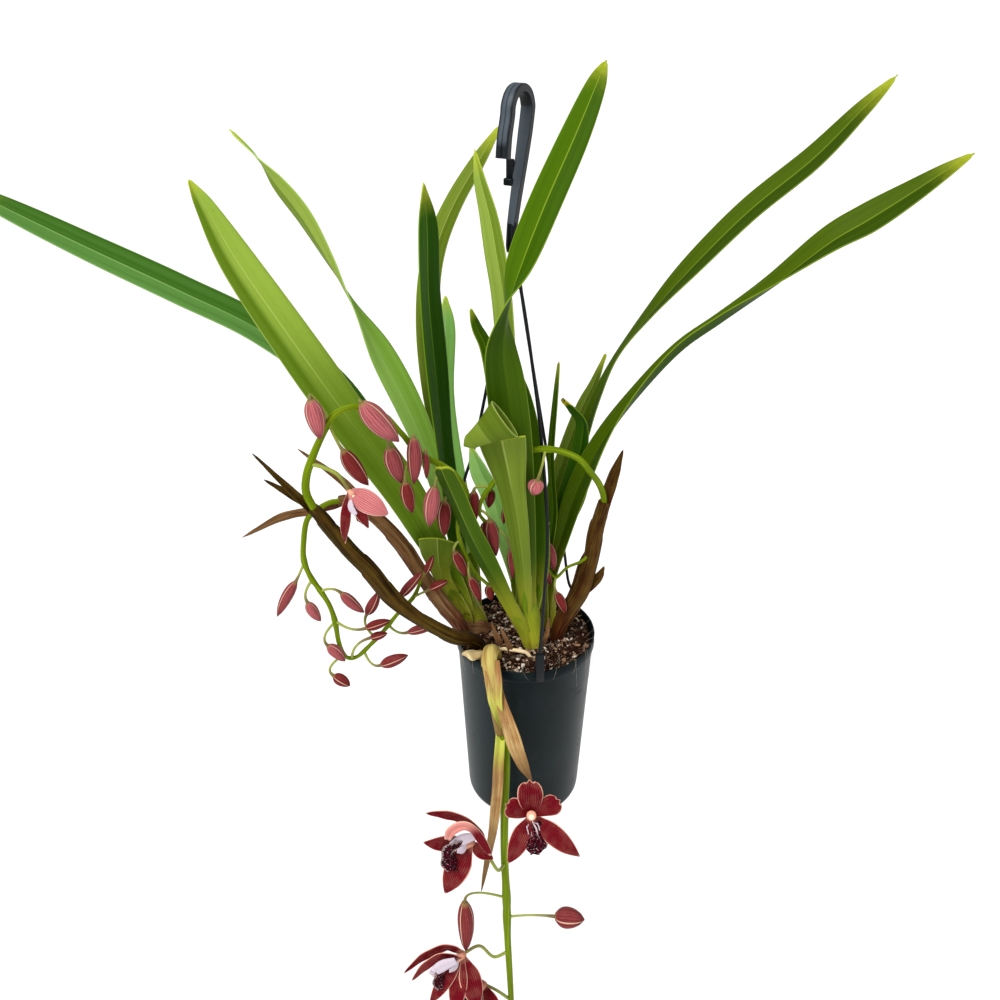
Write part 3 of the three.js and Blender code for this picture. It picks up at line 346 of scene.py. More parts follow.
def new_bmesh():
    """A bmesh with the UV map and the tint that the plant's finishes read."""
    bm = bmesh.new()
    bm.loops.layers.uv.new("UVMap")
    bm.verts.layers.float.new("tint")
    return bm


def scatter_lumps(bm, count, smallest, largest):
    """Scatters flat jagged lumps over the bark, of sizes in millimetres, each with a tint of its own."""
    tint = bm.verts.layers.float["tint"]
    for _ in range(count):
        radius = LUMP_REACH * math.sqrt(random.random())
        turn = random.uniform(0, math.tau)
        x, y = radius * math.cos(turn), radius * math.sin(turn)
        size = random.uniform(smallest, largest) / 1000
        width = size * random.uniform(0.4, 0.8)
        height = size * random.uniform(0.2, 0.45)
        stretch = Matrix.Diagonal((size, width, height, 1))
        lean = Euler((random.uniform(-0.7, 0.7), random.uniform(-0.7, 0.7), random.uniform(0, math.tau)))
        centre = at(x, y, bark_height(x, y) + random.uniform(-0.2, 1.0))
        matrix = Matrix.Translation(centre) @ lean.to_matrix().to_4x4() @ stretch
        shade = random.random()
        for vert in bmesh.ops.create_icosphere(bm, subdivisions=1, radius=1, matrix=matrix)["verts"]:
            vert.co += (vert.co - centre) * random.uniform(-0.35, 0.3)
            vert[tint] = shade


bark_finish = Finish("bark_mix", {"IOR": 1.4})
place = bark_finish.place("Object")
crumbs = bark_finish.noise(place, 420, 5)
bark = bark_finish.mix(bark_finish.rise(crumbs, 0.35, 0.7), paint(*BARK_DARK), paint(*BARK_BROWN))
specks = bark_finish.rise(bark_finish.noise(place, 900, 2), 0.62, 0.75)
bark = bark_finish.mix(specks * 0.6, bark, paint(*BARK_TAN))
bark_finish.show(bark, 0.75 + crumbs * 0.2, crumbs, 0.002, 0.8)

chip_finish = Finish("bark_chip", {"IOR": 1.4})
place = chip_finish.place("Object")
stretched = chip_finish.node("ShaderNodeMapping", {}, {0: place, "Scale": (1, 4, 1)})
fibre = chip_finish.noise(stretched, 350, 4)
shade = chip_finish.attribute("tint")
wood = chip_finish.mix(chip_finish.rise(shade, 0.5, 1.05), paint(*BARK_DARK), paint(*BARK_TAN))
wood = chip_finish.mix(fibre * 0.6, wood, paint(*BARK_BROWN))
chip_finish.show(wood, 0.7 + fibre * 0.2, fibre, 0.001, 0.7)

grit_finish = Finish("pale_grit", {"IOR": 1.4})
place = grit_finish.place("Object")
pits = grit_finish.noise(place, 1200, 3)
grit = grit_finish.mix(grit_finish.attribute("tint"), paint(*BARK_TAN), paint(*GRIT_PALE))
grit = grit_finish.mix(pits * 0.4, grit, paint(*BARK_BROWN))
grit_finish.show(grit, 0.8 + pits * 0.1, pits, 0.0006, 0.6)

hair_finish = Finish("dry_root", {"IOR": 1.4})
place = hair_finish.place("Object")
patches = hair_finish.noise(place, 300, 3)
root = hair_finish.mix(patches, paint(*BARK_BROWN), paint(*HAIR_PALE))
hair_finish.show(root, 0.7 + patches * 0.1, patches, 0.0004, 0.4)

bm = bmesh.new()
rings = [[BARK_RADIUS * ring / BARK_RINGS, 0] for ring in range(BARK_RINGS + 1)]
spin_round(bm, rings + BARK_SIDE, BARK_STEPS)
for vert in bm.verts:
    if vert.co.z > RIM_CENTRE.z - BARK_TOP_BAND:
        x, y = (vert.co.x - RIM_CENTRE.x) * 1000, vert.co.y * 1000
        vert.co.z = RIM_CENTRE.z + bark_height(x, y) / 1000
settle(make_piece("bark_bed", bm, [bark_finish]), "bark", "potting_bark")
bm = new_bmesh()
scatter_lumps(bm, CHIPS, *CHIP_SIZES)
settle(make_piece("bark_chips", bm, [chip_finish], sharp=40), "bark", "potting_bark")
bm = new_bmesh()
scatter_lumps(bm, GRITS, *GRIT_SIZES)
settle(make_piece("bark_grit", bm, [grit_finish], sharp=40), "bark", "potting_bark")

bm = new_bmesh()
for _ in range(HAIRS):
    radius = HAIR_START * math.sqrt(random.random())
    turn = random.uniform(0, math.tau)
    way = random.uniform(0, math.tau)
    x, y = radius * math.cos(turn), radius * math.sin(turn)
    rows = []
    for _ in range(HAIR_JOINTS):
        rows.append([x, y, bark_height(x, y) + random.uniform(0.2, 1.8), HAIR_RADIUS])
        way += random.uniform(-0.7, 0.7)
        x += HAIR_STEP * math.cos(way)
        y += HAIR_STEP * math.sin(way)
        if math.hypot(x, y) > HAIR_LIMIT:
            way += math.pi / 2
            x, y = x * 0.93, y * 0.93
    tube(bm, rows, 3, 6, random.random())
for azimuth, drop in RIM_HAIRS:
    turn = math.radians(azimuth)
    drift = random.uniform(-0.2, 0.2)
    rows = []
    for share, radius, height in ((0, 52, -4.5), (0.3, 57, -0.5), (0.45, 60.2, 0.9),
                                  (0.7, 60.7, -drop / 2), (1, 60.6 - drop / 25, -drop)):
        around = turn + drift * share
        rows.append([radius * math.cos(around), radius * math.sin(around), height, RIM_HAIR_RADIUS])
    tube(bm, rows, 4, 12, random.random())
settle(make_piece("dry_root_hairs", bm, [hair_finish]), "bark", "potting_bark")

# Growths
# The swollen green bases that the leaves rise from, wrapped in the leaves' ribbed yellow-green feet. They
# grew where they stand, and are rooted in the bark. A growth is listed from the bark upwards by its middle
# and by its half width and half depth.
GROWTHS = {
    "left": [[-40, 11, -24, 8, 11], [-42, 11, -6, 11, 15], [-43, 11, 8, 10.5, 14.5],
             [-51, 11, 26, 11, 16], [-54, 11, 40, 8, 14]],
    "middle": [[8, -14, -22, 6, 10], [8, -14, -5, 9, 13], [6, -14, 10, 11, 15.5], [2, -13.5, 30, 13, 16],
               [-1, -13, 48, 12, 14.5]],
    "right": [[16, 14, -24, 8, 10], [17, 15, -6, 10, 13], [18, 16, 10, 11, 15], [19, 16, 27, 10, 15],
              [20, 17, 40, 8, 13]],
}
GROWTH_YELLOW = (166, 166, 48)
GROWTH_GREEN = (98, 126, 24)
GROWTH_BROWN = (120, 84, 48)
GROWTH_MARGIN = (214, 200, 120)
GROWTH_SHRINK = {"left": -3.5, "middle": -4, "right": -2.5}
GROWTH_SIDES = 104
GROWTH_STEPS = 24
GROWTH_RIBS = 26


def growth_point(rows, angle, along, lift):
    """A point of a growth's skin, raised by a lift in millimetres, with its lengthwise ribs."""
    x, y, z, wide, deep = along_rows(rows, along * (len(rows) - 1))
    rib = 0.22 * math.cos(GROWTH_RIBS * angle)
    reach = lift * min(1, max(0, 2 * along - 0.2)) + rib
    return at(x + (wide + reach) * math.cos(angle), y + (deep + reach) * math.sin(angle), z)


growth_finish = Finish("growth_skin", {"IOR": 1.45})
across, up, _ = growth_finish.parts(growth_finish.place("UV"))
place = growth_finish.place("Object")
_, _, height = growth_finish.parts(place)
from_keel = abs(across - 0.5) * 2
fibres = growth_finish.noise(growth_finish.join(across * 36, up * 1.5, height * 6), 1.4, 3)
blotch = growth_finish.noise(place, 60, 3)
climb = growth_finish.rise(height + blotch * 0.03, RIM_CENTRE.z + 0.012, RIM_CENTRE.z + 0.075)
skin = growth_finish.mix(climb, paint(*GROWTH_YELLOW), paint(*GROWTH_GREEN))
skin = growth_finish.mix(growth_finish.rise(fibres, 0.45, 0.75) * 0.4, skin, paint(*GROWTH_GREEN))
skin = growth_finish.mix(growth_finish.rise(from_keel, 0.9, 0.98) * 0.45, skin, paint(*GROWTH_MARGIN))
keel = 1 - growth_finish.rise(from_keel, 0.0, 0.12)
skin = growth_finish.mix(keel * 0.3, skin, paint(*GROWTH_GREEN))
dry = growth_finish.rise(growth_finish.noise(place, 110, 4), 0.58, 0.72)
low = 1 - growth_finish.rise(height, RIM_CENTRE.z - 0.006, RIM_CENTRE.z + 0.006)
skin = growth_finish.mix(dry * 0.35 + low * 0.5, skin, paint(*GROWTH_BROWN))
growth_finish.show(skin, 0.4 + fibres * 0.2, fibres, 0.0008)
for side, rows in GROWTHS.items():
    bm = new_bmesh()
    sleeve(bm, lambda angle, along: growth_point(rows, angle, along, GROWTH_SHRINK[side]), GROWTH_SIDES,
           GROWTH_STEPS)
    settle(make_piece("growth_core_" + side, bm, [growth_finish]), "growth_green", "growth_" + side)

# Leaves
# Long strap leaves, folded along the midrib, satin green above and duller below. Each grew out of its
# growth and clasps it with its foot. Two were cut off short, and one is rolled up at its end. A leaf is
# listed from foot to tip by its midrib, its width, its turn and its fold, in millimetres and degrees.
LEFT_LEAVES = {
    "cut_wide": [[-52, -2, 18, 12, 5, 36], [-61, -3.5, 38, 12, 15, 32], [-69, -6, 56, 14, 15, 26],
                 [-72.5, -9, 74, 20, 12, 20], [-73, -12, 90, 29, 10, 14], [-73, -13, 103, 31, 10, 12]],
    "broad": [[-50, 2.5, 18, 12, 5, 35], [-61, 2, 50, 16, 18, 28], [-80, -3, 95, 26, 28, 20],
              [-101, -9, 145, 32, 26, 15], [-138, -20, 213, 33, 26, 14], [-165, -28, 265, 32, 28, 14],
              [-198, -38, 331, 26, 30, 14], [-214, -45, 372, 13, 30, 10], [-221, -48, 389, 2, 30, 5]],
    "upright": [[-50, 7, 18, 12, 5, 35], [-55, 9, 50, 14, 14, 28], [-59, 9, 86, 16, 28, 22],
                [-66, 2, 164, 20, 50, 18], [-70, -6, 235, 23, 52, 16], [-73, -14, 299, 24, 54, 14],
                [-72, -20, 350, 20, 55, 12], [-73, -22, 382, 2, 55, 5]],
    "long": [[-49, 11, 18, 12, 5, 35], [-57, 12, 40, 13, 10, 28], [-69, 13, 62, 15, 12, 22],
             [-103, 19, 131, 24, 50, 18], [-149, 30, 209, 29, 58, 16], [-208, 42, 255, 30, 60, 16],
             [-271, 52, 285, 30, 60, 16], [-338, 62, 315, 27, 60, 15], [-400, 69, 345, 20, 60, 14],
             [-452, 75, 372, 2, 60, 8]],
    "twisted": [[-48, 15, 18, 12, 5, 35], [-54, 21, 50, 12, 10, 28], [-61, 24, 85, 15, 15, 20],
                [-79, 29, 149, 21, 42, 18], [-96, 33, 197, 24, 35, 15], [-117, 38, 241, 24, 48, 15],
                [-137, 42, 280, 15, 92, 15], [-153, 47, 312, 17, 132, 15], [-170, 52, 342, 20, 145, 15],
                [-188, 56, 366, 16, 140, 14], [-203, 60, 386, 7, 95, 12], [-219, 62, 403, 2, 80, 5]],
    "short": [[-46, 19, 18, 11, 5, 35], [-47, 28, 49, 12, 10, 28], [-51, 34, 76, 14, 15, 22],
              [-57, 41, 107, 18, 22, 18], [-66, 46, 160, 21, 30, 16], [-69, 46, 205, 21, 30, 16],
              [-65, 44, 257, 17, 30, 14], [-64, 44, 284, 2, 30, 5]],
    "back": [[-44, 23.5, 18, 11, 5, 35], [-48, 38, 56, 13, 8, 28], [-58, 50, 93, 17, 10, 24],
             [-73, 57, 172, 20, 10, 20], [-79, 58, 233, 20, 0, 16], [-77, 54, 286, 20, -20, 14],
             [-70, 60, 319, 19, -35, 14], [-56, 66, 350, 18, -42, 14], [-37, 72, 380, 14, -42, 12],
             [-21, 75, 405, 2, -42, 5]],
}
MIDDLE_LEAVES = {
    "cut_narrow": [[-1, -27, 14, 11, 180, 38], [-13, -34, 45, 13, 175, 30], [-28, -41, 83, 18, 165, 25],
                   [-43, -50, 123, 20, 155, 22], [-55, -57, 160, 20, 150, 20],
                   [-65, -66, 193, 18, 150, 18]],
    "curled": [[0, -23, 14, 12, 180, 38], [-3, -33, 73, 14, 180, 30], [-8, -42, 125, 18, 180, 22],
               [-11.8, -46, 154, 20.5, 180, 18], [-14.4, -49, 172, 24.5, 180, 16],
               [-17.4, -51, 190, 31, 180, 14], [-19.6, -55, 203, 34, 180, 10],
               [-20.5, -60, 211, 34, 180, 8]],
    "tall": [[1, -19, 14, 12, 180, 38], [1, -24, 50, 15, 180, 30], [-5, -32, 120, 23, 180, 16],
             [-12, -41, 194, 29, 180, 10], [-17, -44, 239, 29, 184, 10], [-20, -45, 273, 26, 210, 18],
             [-16, -45, 304, 21, 265, 25], [-7, -44, 334, 24, 318, 20], [8, -40, 373, 23, 338, 16],
             [26, -32, 413, 20, 346, 14], [39, -24, 443, 13, 350, 10], [45, -20, 457, 2, 350, 5]],
    "right": [[1, -9.5, 14, 12, 0, 38], [6, -11, 45, 16, 0, 30], [8, -12, 80, 23, 0, 20],
              [2, -12, 144, 26, 0, 15], [-3, -12, 188, 26, 0, 14], [-9, -13, 226, 20, 0, 12],
              [-14, -14, 258, 2, 0, 5]],
    "small": [[0, -5.5, 14, 11, 0, 38], [-3, -6, 55, 12, 0, 30], [-11, -6, 135, 15, 0, 20],
              [-22, -8, 212, 16, 15, 18], [-32, -12, 260, 13, 40, 16], [-39, -15, 279, 9, 45, 12],
              [-43, -18, 294, 2, 45, 5]],
    "back": [[-1, -1.5, 14, 11, 0, 38], [-3, -1, 60, 13, 0, 30], [-7, 0, 120, 16, -10, 24],
             [-11, -1, 180, 18, -25, 20], [-15, -3, 236, 20, -38, 18], [-19, -8, 296, 21, -42, 16],
             [-24, -10, 330, 20, -42, 15], [-29, -11, 358, 17, -42, 14], [-35, -10, 381, 12, -42, 12],
             [-39, -8, 401, 2, -42, 5]],
    "low": [[-2, 2.5, 14, 11, 0, 38], [-7, 4, 45, 12, 0, 30], [-16, 4, 82, 14, -10, 24],
            [-28, 3, 130, 20, -25, 18], [-38, 1, 156, 18, -30, 15], [-45, 0, 178, 2, -30, 8]],
}
RIGHT_LEAVES = {
    "thin": [[15, 3.5, 18, 8, -15, 35], [15.5, 3.5, 50, 7, -20, 25], [18, 4, 75, 7, -20, 20],
             [21, 5, 98, 7, -20, 18], [22, 8, 116, 7, -20, 15], [20, 12, 142, 6, -20, 15],
             [19, 16, 166, 6, -30, 12], [22, 24, 209, 5, -40, 10], [24, 28, 236, 2, -40, 5]],
    "low": [[18, 7, 18, 11, -15, 38], [21, 7, 50, 13, -22, 30], [27, 6, 80, 15, -30, 24],
            [41, 4, 136, 20, -42, 20], [60, 1, 182, 23, -70, 25], [84, -4, 222, 24, -95, 35],
            [111, -8, 258, 24, -108, 40], [138, -12, 282, 25, -105, 38], [171, -18, 311, 27, -90, 28],
            [203, -24, 342, 28, -72, 20], [225, -27, 358, 27, -64, 16], [246, -30, 374, 22, -62, 14],
            [268, -32, 391, 13, -60, 10], [284, -34, 403, 2, -60, 5]],
    "short": [[18, 10.5, 18, 10, -15, 38], [22, 12, 52, 12, -20, 28], [32, 13, 93, 12, -25, 22],
              [43, 12, 122, 10, -30, 18], [51, 11, 145, 2, -30, 5]],
    "hooked": [[18, 14, 18, 11, -15, 38], [20, 17, 52, 13, -15, 30], [27, 20, 93, 14, -20, 25],
               [36, 20, 128, 16, -25, 22], [43, 19, 166, 15, -30, 22], [44, 18, 189, 13, -40, 25],
               [36, 17, 202, 11, -50, 30], [27, 18, 210, 8, -50, 30]],
    "high": [[18, 17.5, 18, 12, -15, 38], [20, 22, 55, 13, -15, 30], [27, 25, 94, 14, -25, 25],
             [35, 28, 124, 15, -40, 22], [46, 33, 168, 15, -52, 20], [57, 35, 204, 14, -74, 20],
             [71, 37, 237, 14, -92, 20], [93, 39, 269, 21, -85, 16], [122, 43, 304, 25, -72, 14],
             [163, 48, 347, 26, -68, 13], [207, 53, 384, 25, -66, 12], [239, 57, 418, 17, -66, 10],
             [260, 60, 440, 2, -66, 5]],
    "dark": [[17, 21, 18, 11, -15, 38], [16, 28, 54, 12, -10, 28], [19.5, 36, 90, 12, -8, 20],
             [25.5, 40, 126, 13, -10, 16], [37, 46, 163, 13, -15, 15], [46, 50, 190, 10, -20, 14],
             [55, 52, 210, 7, -25, 12], [63, 54, 233, 2, -25, 5]],
}
LEAF_SETS = {"left": LEFT_LEAVES, "middle": MIDDLE_LEAVES, "right": RIGHT_LEAVES}
CUT_TOPS = {"left_cut_wide": (0.06, 0.03), "middle_cut_narrow": (0.01, 0.03),
            "right_hooked": (0.0, 0.03), "middle_curled": (0.0, 0.0)}
CURL_FOLD = (-47.7, -62, 207.2)
CURL_MOUTH = (-18.1, -62, 227.9)
CURL_TURN = math.pi * 1.06
CURL_FLAT = 0.5
CURL_STEPS = 44
CURL_GIRTH = [0.02, 4.8, 6.2, 7.4, 8.8, 10.4, 12.2, 14.2, 16]
# Each look gives a deep and a light green, which also paint the shaded and lit halves of a blade, and a
# pale green for rib and margins
LEAF_COLOURS = {
    "olive": [(54, 84, 3), (78, 110, 10), (156, 184, 56)],
    "moss": [(48, 70, 2), (76, 98, 12), (140, 166, 46)],
    "broad": [(90, 120, 22), (156, 186, 72), (184, 204, 100)],
    "lime": [(104, 130, 30), (152, 176, 78), (190, 212, 96)],
    "fresh": [(118, 160, 54), (160, 204, 98), (192, 220, 128)],
    "dark": [(36, 72, 1), (56, 94, 10), (124, 164, 40)],
    "mint": [(126, 182, 86), (164, 216, 118), (200, 230, 158)],
    "blue": [(52, 92, 18), (96, 142, 70), (150, 190, 110)],
    "matt": [(80, 100, 22), (116, 136, 48), (172, 190, 100)],
    "under": [(46, 70, 4), (68, 94, 14), (134, 160, 60)],
}
LEAF_LOOKS = {
    "left_broad": "broad", "left_long": "blue", "left_short": "mint", "left_upright": "dark",
    "left_twisted": "fresh", "left_back": "matt", "left_cut_wide": "matt", "middle_curled": "matt",
    "middle_low": "mint", "middle_back": "lime", "right_dark": "matt", "right_hooked": "dark",
    "right_low": "moss", "right_high": "moss",
}
UNDER_LOOKS = {"middle_curled": "matt", "left_twisted": "lime"}
LEAF_YELLOW = (196, 204, 58)
HOOKED_TIP = (206, 190, 40)
HOOKED_SPOT = (40, 26, 14)
LEAF_THICKNESS = 0.0009
LEAF_CREASE = 0.012
BLADE_COLUMNS = 14
BLADE_STEPS = 12
FOOT_DEPTH = -7
FOOT_OUT = 0.0011
FOOT_THICKNESS = 0.0007
FOOT_SPREADS = [[0.6, 3.2, 6], [1.1, 1.4, 4], [1.4, 0.2, 0]]
FOOT_COLUMNS = 12
FOOT_STEPS = 26


def strip(bm, frame_at, columns, steps, curl=0.0, ripple=0.0, waves=24.0, reach=None):
    """Adds a folded strip. frame_at(along) gives a point of its midrib, the way across it, the way
    that its face looks, half its width and the slope of its halves. reach(side) trims its end."""
    verts = unit_grid(bm, columns, steps)
    for vert in verts:
        side = vert.co.x
        along = (vert.co.y + 1) / 2
        along *= reach(side) if reach else 1
        point, across, face, half, slope = frame_at(along)
        rise = math.sqrt(side * side + LEAF_CREASE) - math.sqrt(LEAF_CREASE)
        lift = half * (math.sin(slope) * rise - curl * side ** 4)
        lift += ripple * side * side * math.sin(waves * along + 1.3 * side)
        vert.co = point + across * (half * side * math.cos(slope)) + face * lift
    return verts


def blade_frame(rows, along, pointed=True):
    """The frame of a blade along rows of [x, y, z, width, turn, fold]. Turn 0 looks to the front."""
    place = along * (len(rows) - 1)
    x, y, z, width, turn, fold = along_rows(rows, place)
    direction = heading(rows, place)
    across = direction.cross(Vector((0, -1, 0))).normalized()
    across.rotate(Quaternion(direction, math.radians(turn)))
    half = max(width, 1) / 2000
    if pointed and along > 0.99:
        half *= 0.3
    return at(x, y, z), across, across.cross(direction), half, math.radians(fold)


def foot_frame(growth, leaf, along):
    """The frame of a leaf's clasping foot, from the bark to where the blade stands free of it. A row of
    FOOT_SPREADS says how much wider and more folded than its leaf the foot is at a place."""
    x, y, z, _, turn, _ = leaf[0]
    middle_x, middle_y = growth[1][:2]
    start_x, start_y = middle_x + 0.5 * (x - middle_x), middle_y + 0.8 * (y - middle_y)
    rows = [[start_x, start_y, FOOT_DEPTH, 8, turn, 40], [x, y, z, 15, turn, 42]]
    for place, widening, closing in FOOT_SPREADS:
        row = along_rows(leaf, place)
        rows.append([*row[:3], max(row[3] + widening, 5), row[4], row[5] + closing])
    point, across, face, half, slope = blade_frame(rows, along)
    return point - face * FOOT_OUT * (1 - 1.5 * along), across, face, half, slope


def leaf_finish(name, deep, light, pale, cut):
    """A leaf's skin: fine parallel veins, one half of the blade painted lighter than the other as painted
    light and shade on its fold, painted crease shade along the rib near the foot, the rib pale further up,
    thin pale margins, and a yellow foot and tip. The hooked leaf's tip is spotted with rot."""
    finish = Finish(name, {"IOR": 1.45})
    across, along, _ = finish.parts(finish.place("UV"))
    place = finish.place("Object")
    from_rib = abs(across - 0.5) * 2
    veins = finish.noise(finish.join(across * 60, along * 1.6, 0.0), 1.0, 3)
    bands = finish.noise(finish.join(across * 8, along * 1.2, 3.0), 1.0, 2)
    mottle = finish.noise(place, 260, 3)
    # Painted light: one half of the blade, or on the broad leaf the part right of its rib, is painted
    # lighter as the lit side of its fold, with soft random lengthwise bands
    if name.startswith("leaf_broad"):
        lit_half_and_bands = finish.rise(across, 0.22, 0.4) * finish.rise(along, 0.42, 0.78) * 0.8
        lit_half_and_bands = lit_half_and_bands + finish.rise(bands, 0.3, 0.75) * 0.15
    else:
        lit_half_and_bands = (1 - finish.rise(across, 0.45, 0.55)) * 0.6 + finish.rise(bands, 0.3, 0.75) * 0.3
    color = finish.mix(lit_half_and_bands, paint(*deep), paint(*light))
    color = finish.mix(finish.rise(veins, 0.4, 0.7) * 0.12, color, paint(*light))
    color = finish.mix(finish.rise(1 - veins, 0.5, 0.75) * 0.14, color, paint(*deep))
    color = finish.mix(finish.rise(mottle, 0.55, 0.8) * 0.16, color, paint(*deep))
    # Painted shade: the rib's crease is darkened near the foot, as shade in the fold
    painted_crease_shade = 1 - finish.rise(from_rib, 0.0, 0.04)
    color = finish.mix(painted_crease_shade * (1 - finish.rise(along, 0.35, 0.6)) * 0.4, color, paint(*deep))
    pale_rib = (1 - finish.rise(from_rib, 0.01, 0.07)) * finish.rise(along, 0.35, 0.75) * 0.5
    color = finish.mix(pale_rib + finish.rise(from_rib, 0.945, 0.99) * 0.55, color, paint(*pale))
    _, _, height = finish.parts(place)
    foot = 1 - finish.rise(height + bands * 0.02, RIM_CENTRE.z + 0.035, RIM_CENTRE.z + 0.105)
    color = finish.mix(foot * 0.7, color, paint(*GROWTH_YELLOW))
    if cut:
        ends = finish.rise(along, 0.985, 0.996) * 0.5
    else:
        ends = finish.rise(along + mottle * 0.04, 0.9, 1.04) * 0.7
    color = finish.mix(ends, color, paint(*LEAF_YELLOW))
    if name.startswith("leaf_dark") and cut:
        spots = finish.rise(finish.noise(place, 420, 2), 0.5, 0.56)
        rotten = finish.mix(spots, paint(*HOOKED_TIP), paint(*HOOKED_SPOT))
        color = finish.mix(finish.rise(along, 0.9, 0.96), color, rotten)
    relief = veins * 0.5 + finish.rise(from_rib, 0.0, 0.1)
    finish.show(color, 0.42 + veins * 0.1 + mottle * 0.06, relief, 0.0005, 0.5)
    return finish


def add_curl(bm):
    """Adds the rolled end of the curled leaf, a flattened cone from the fold to its open mouth. Its UV
    map keeps to the middle of the blade's, clear of the yellow foot and tip."""
    fold, mouth = Vector(CURL_FOLD), Vector(CURL_MOUTH)
    axis = (mouth - fold).normalized()
    level = axis.cross(Vector((0, 0, 1))).normalized()
    for vert in unit_grid(bm, len(CURL_GIRTH) * 3, CURL_STEPS):
        share = (vert.co.x + 1) / 2
        girth = along_rows([[girth] for girth in CURL_GIRTH], share * (len(CURL_GIRTH) - 1))[0]
        turn = CURL_TURN * vert.co.y
        out = level * math.cos(turn) * CURL_FLAT + axis.cross(level) * math.sin(turn)
        girth *= 1 - 0.02 * vert.co.y + 0.02 * math.sin(3 * turn) * share
        vert.co = at(*(fold.lerp(mouth, share) + out * girth))
        for loop in vert.link_loops:
            loop[bm.loops.layers.uv["UVMap"]].uv.y = 0.4 + 0.2 * share


leaf_finishes = {}
for look, shades in LEAF_COLOURS.items():
    for cut in (False, True):
        leaf_finishes[look, cut] = leaf_finish("leaf_" + look + ("_cut" if cut else ""), *shades, cut)
random.seed(5)
for side, leaves in LEAF_SETS.items():
    feet = new_bmesh()
    for leaf, rows in leaves.items():
        name = side + "_" + leaf
        cut = name in CUT_TOPS
        slant, rounding = CUT_TOPS.get(name, (0, 0))
        look = LEAF_LOOKS.get(name, "olive")
        bm = new_bmesh()
        strip(bm, lambda along: blade_frame(rows, along, not cut), BLADE_COLUMNS,
              BLADE_STEPS * (len(rows) - 1), curl=0.05, ripple=random.uniform(0.0003, 0.0007),
              waves=random.uniform(12, 22),
              reach=lambda side: 1 - slant * (side + 0.6) - rounding * side ** 4)
        if leaf == "curled":
            add_curl(bm)
        strip(feet, lambda along: foot_frame(GROWTHS[side], rows, along), FOOT_COLUMNS, FOOT_STEPS,
              curl=0.05, reach=lambda side: 1 - 0.3 * side * side)
        finishes = [leaf_finishes[look, cut], leaf_finishes[UNDER_LOOKS.get(name, "under"), cut]]
        piece = make_piece("blade_" + name, bm, finishes, thickness=LEAF_THICKNESS, backed=True)
        settle(piece, "leaf_blue_green" if look == "blue" else "leaf_green", "leaf_" + name)
    piece = make_piece("growth_feet_" + side, feet, [growth_finish], thickness=FOOT_THICKNESS)
    settle(piece, "growth_green", "growth_" + side)

# Flower stalks in their sheaths
# Each flower stem is wrapped to its first bud in overlapping papery sheaths, dry and brown on three of
# the stalks, and tan with lime green tips on the front one. The free tips stand off like thin dry leaves.
STALK_PATHS = {
    "left_upper": [[-37, -17, -14, 5.5], [-42, -22, 2, 7], [-50, -29, 12, 7.5], [-62, -40, 23, 7],
                   [-86, -48, 45, 6.5], [-107, -52, 69, 8], [-122, -57, 97, 8], [-136, -60, 118, 7.5],
                   [-150, -63, 141, 6.5], [-160, -65, 158, 5]],
    "left_lower": [[-50, -8, -14, 4.5], [-51, -13, 2, 5], [-60, -17, 24, 6.5], [-72, -18, 43, 7],
                   [-88, -18, 72, 6.5], [-102, -20, 100, 6.5], [-120, -25, 127, 5.5],
                   [-138, -31, 145, 4.5], [-146, -34, 147, 4]],
    "right": [[24, -9, -14, 5], [27, -9, 2, 6.5], [34, -8, 22, 8], [46, -6, 44, 8], [53, -4, 73, 7],
              [56, -3, 98, 7], [60, -3, 119, 6], [62, -3, 129, 5]],
    "front": [[-22, -30, -14, 4.5], [-27, -36, 3, 5.5], [-30, -48, 12, 6.5], [-31, -61, 11, 6],
              [-29, -69, 1, 5.5], [-25, -72, -24, 5.5], [-21, -73, -52, 5]],
}
SHEATH_TIPS = {
    "left_upper": [[[-152, -63, 145, 10, 40, 30], [-175, -66, 174, 6, 40, 25],
                    [-198, -68, 204, 1, 40, 10]],
                   [[-140, -60, 124, 10, 30, 30], [-156, -61, 152, 8, 30, 25],
                    [-175, -62, 167, 6, 30, 20], [-194, -62, 180, 1, 30, 10]]],
    "left_lower": [[[-128, -26, 135, 9, 30, 30], [-141, -30, 160, 7, 30, 25],
                    [-173, -34, 191, 1, 30, 10]],
                   [[-140, -33, 145, 6, 0, 20], [-167, -37, 140, 7, 0, 20],
                    [-190, -40, 136, 7, 0, 20], [-221, -44, 120, 1, 0, 10]]],
    "right": [[[60.4, -2.6, 114, 10, -30, 30], [68, -0.4, 147, 11, -30, 28], [75, 2, 173, 1, -30, 10]],
              [[46, -5, 42, 12, -30, 30], [60, -4, 56, 9, -30, 28], [65, -3, 67, 1, -30, 10]]],
    "front": [[[-28.5, -63, 15, 14, 0, 30], [-27, -72, 3, 15.5, 0, 30], [-26, -76.5, -12, 13, 0, 28],
               [-23.5, -77.5, -28, 8.5, 0, 25], [-21, -77.5, -44, 1, 0, 10]],
              [[-24, -72, -6, 8, 0, 30], [-18.5, -78, -24, 11.5, 0, 30], [-13.5, -81, -41, 14, 0, 27],
               [-8, -83, -61, 13.5, 0, 25], [-2, -84, -79, 9.5, 0, 20], [5, -84, -97, 1, 0, 10]],
              [[-21, -75, -46, 9, 0, 30], [-23, -80, -75, 10, 0, 30], [-24, -82, -102, 10, 0, 25],
               [-26, -82, -131, 10, 0, 25], [-29, -81, -162, 8, 0, 25], [-34, -79, -200, 5.5, 0, 20],
               [-39, -78, -238, 1, 0, 10]]],
}
TWIG = [[53, -2, 88, 1.3], [45, 0, 69, 1.3], [40, 0, 47, 1.3], [34, -2, 30, 1.3]]
STALK_LIMES = {"left_upper": 0.0, "left_lower": 0.0, "right": 0.0, "front": 0.35}
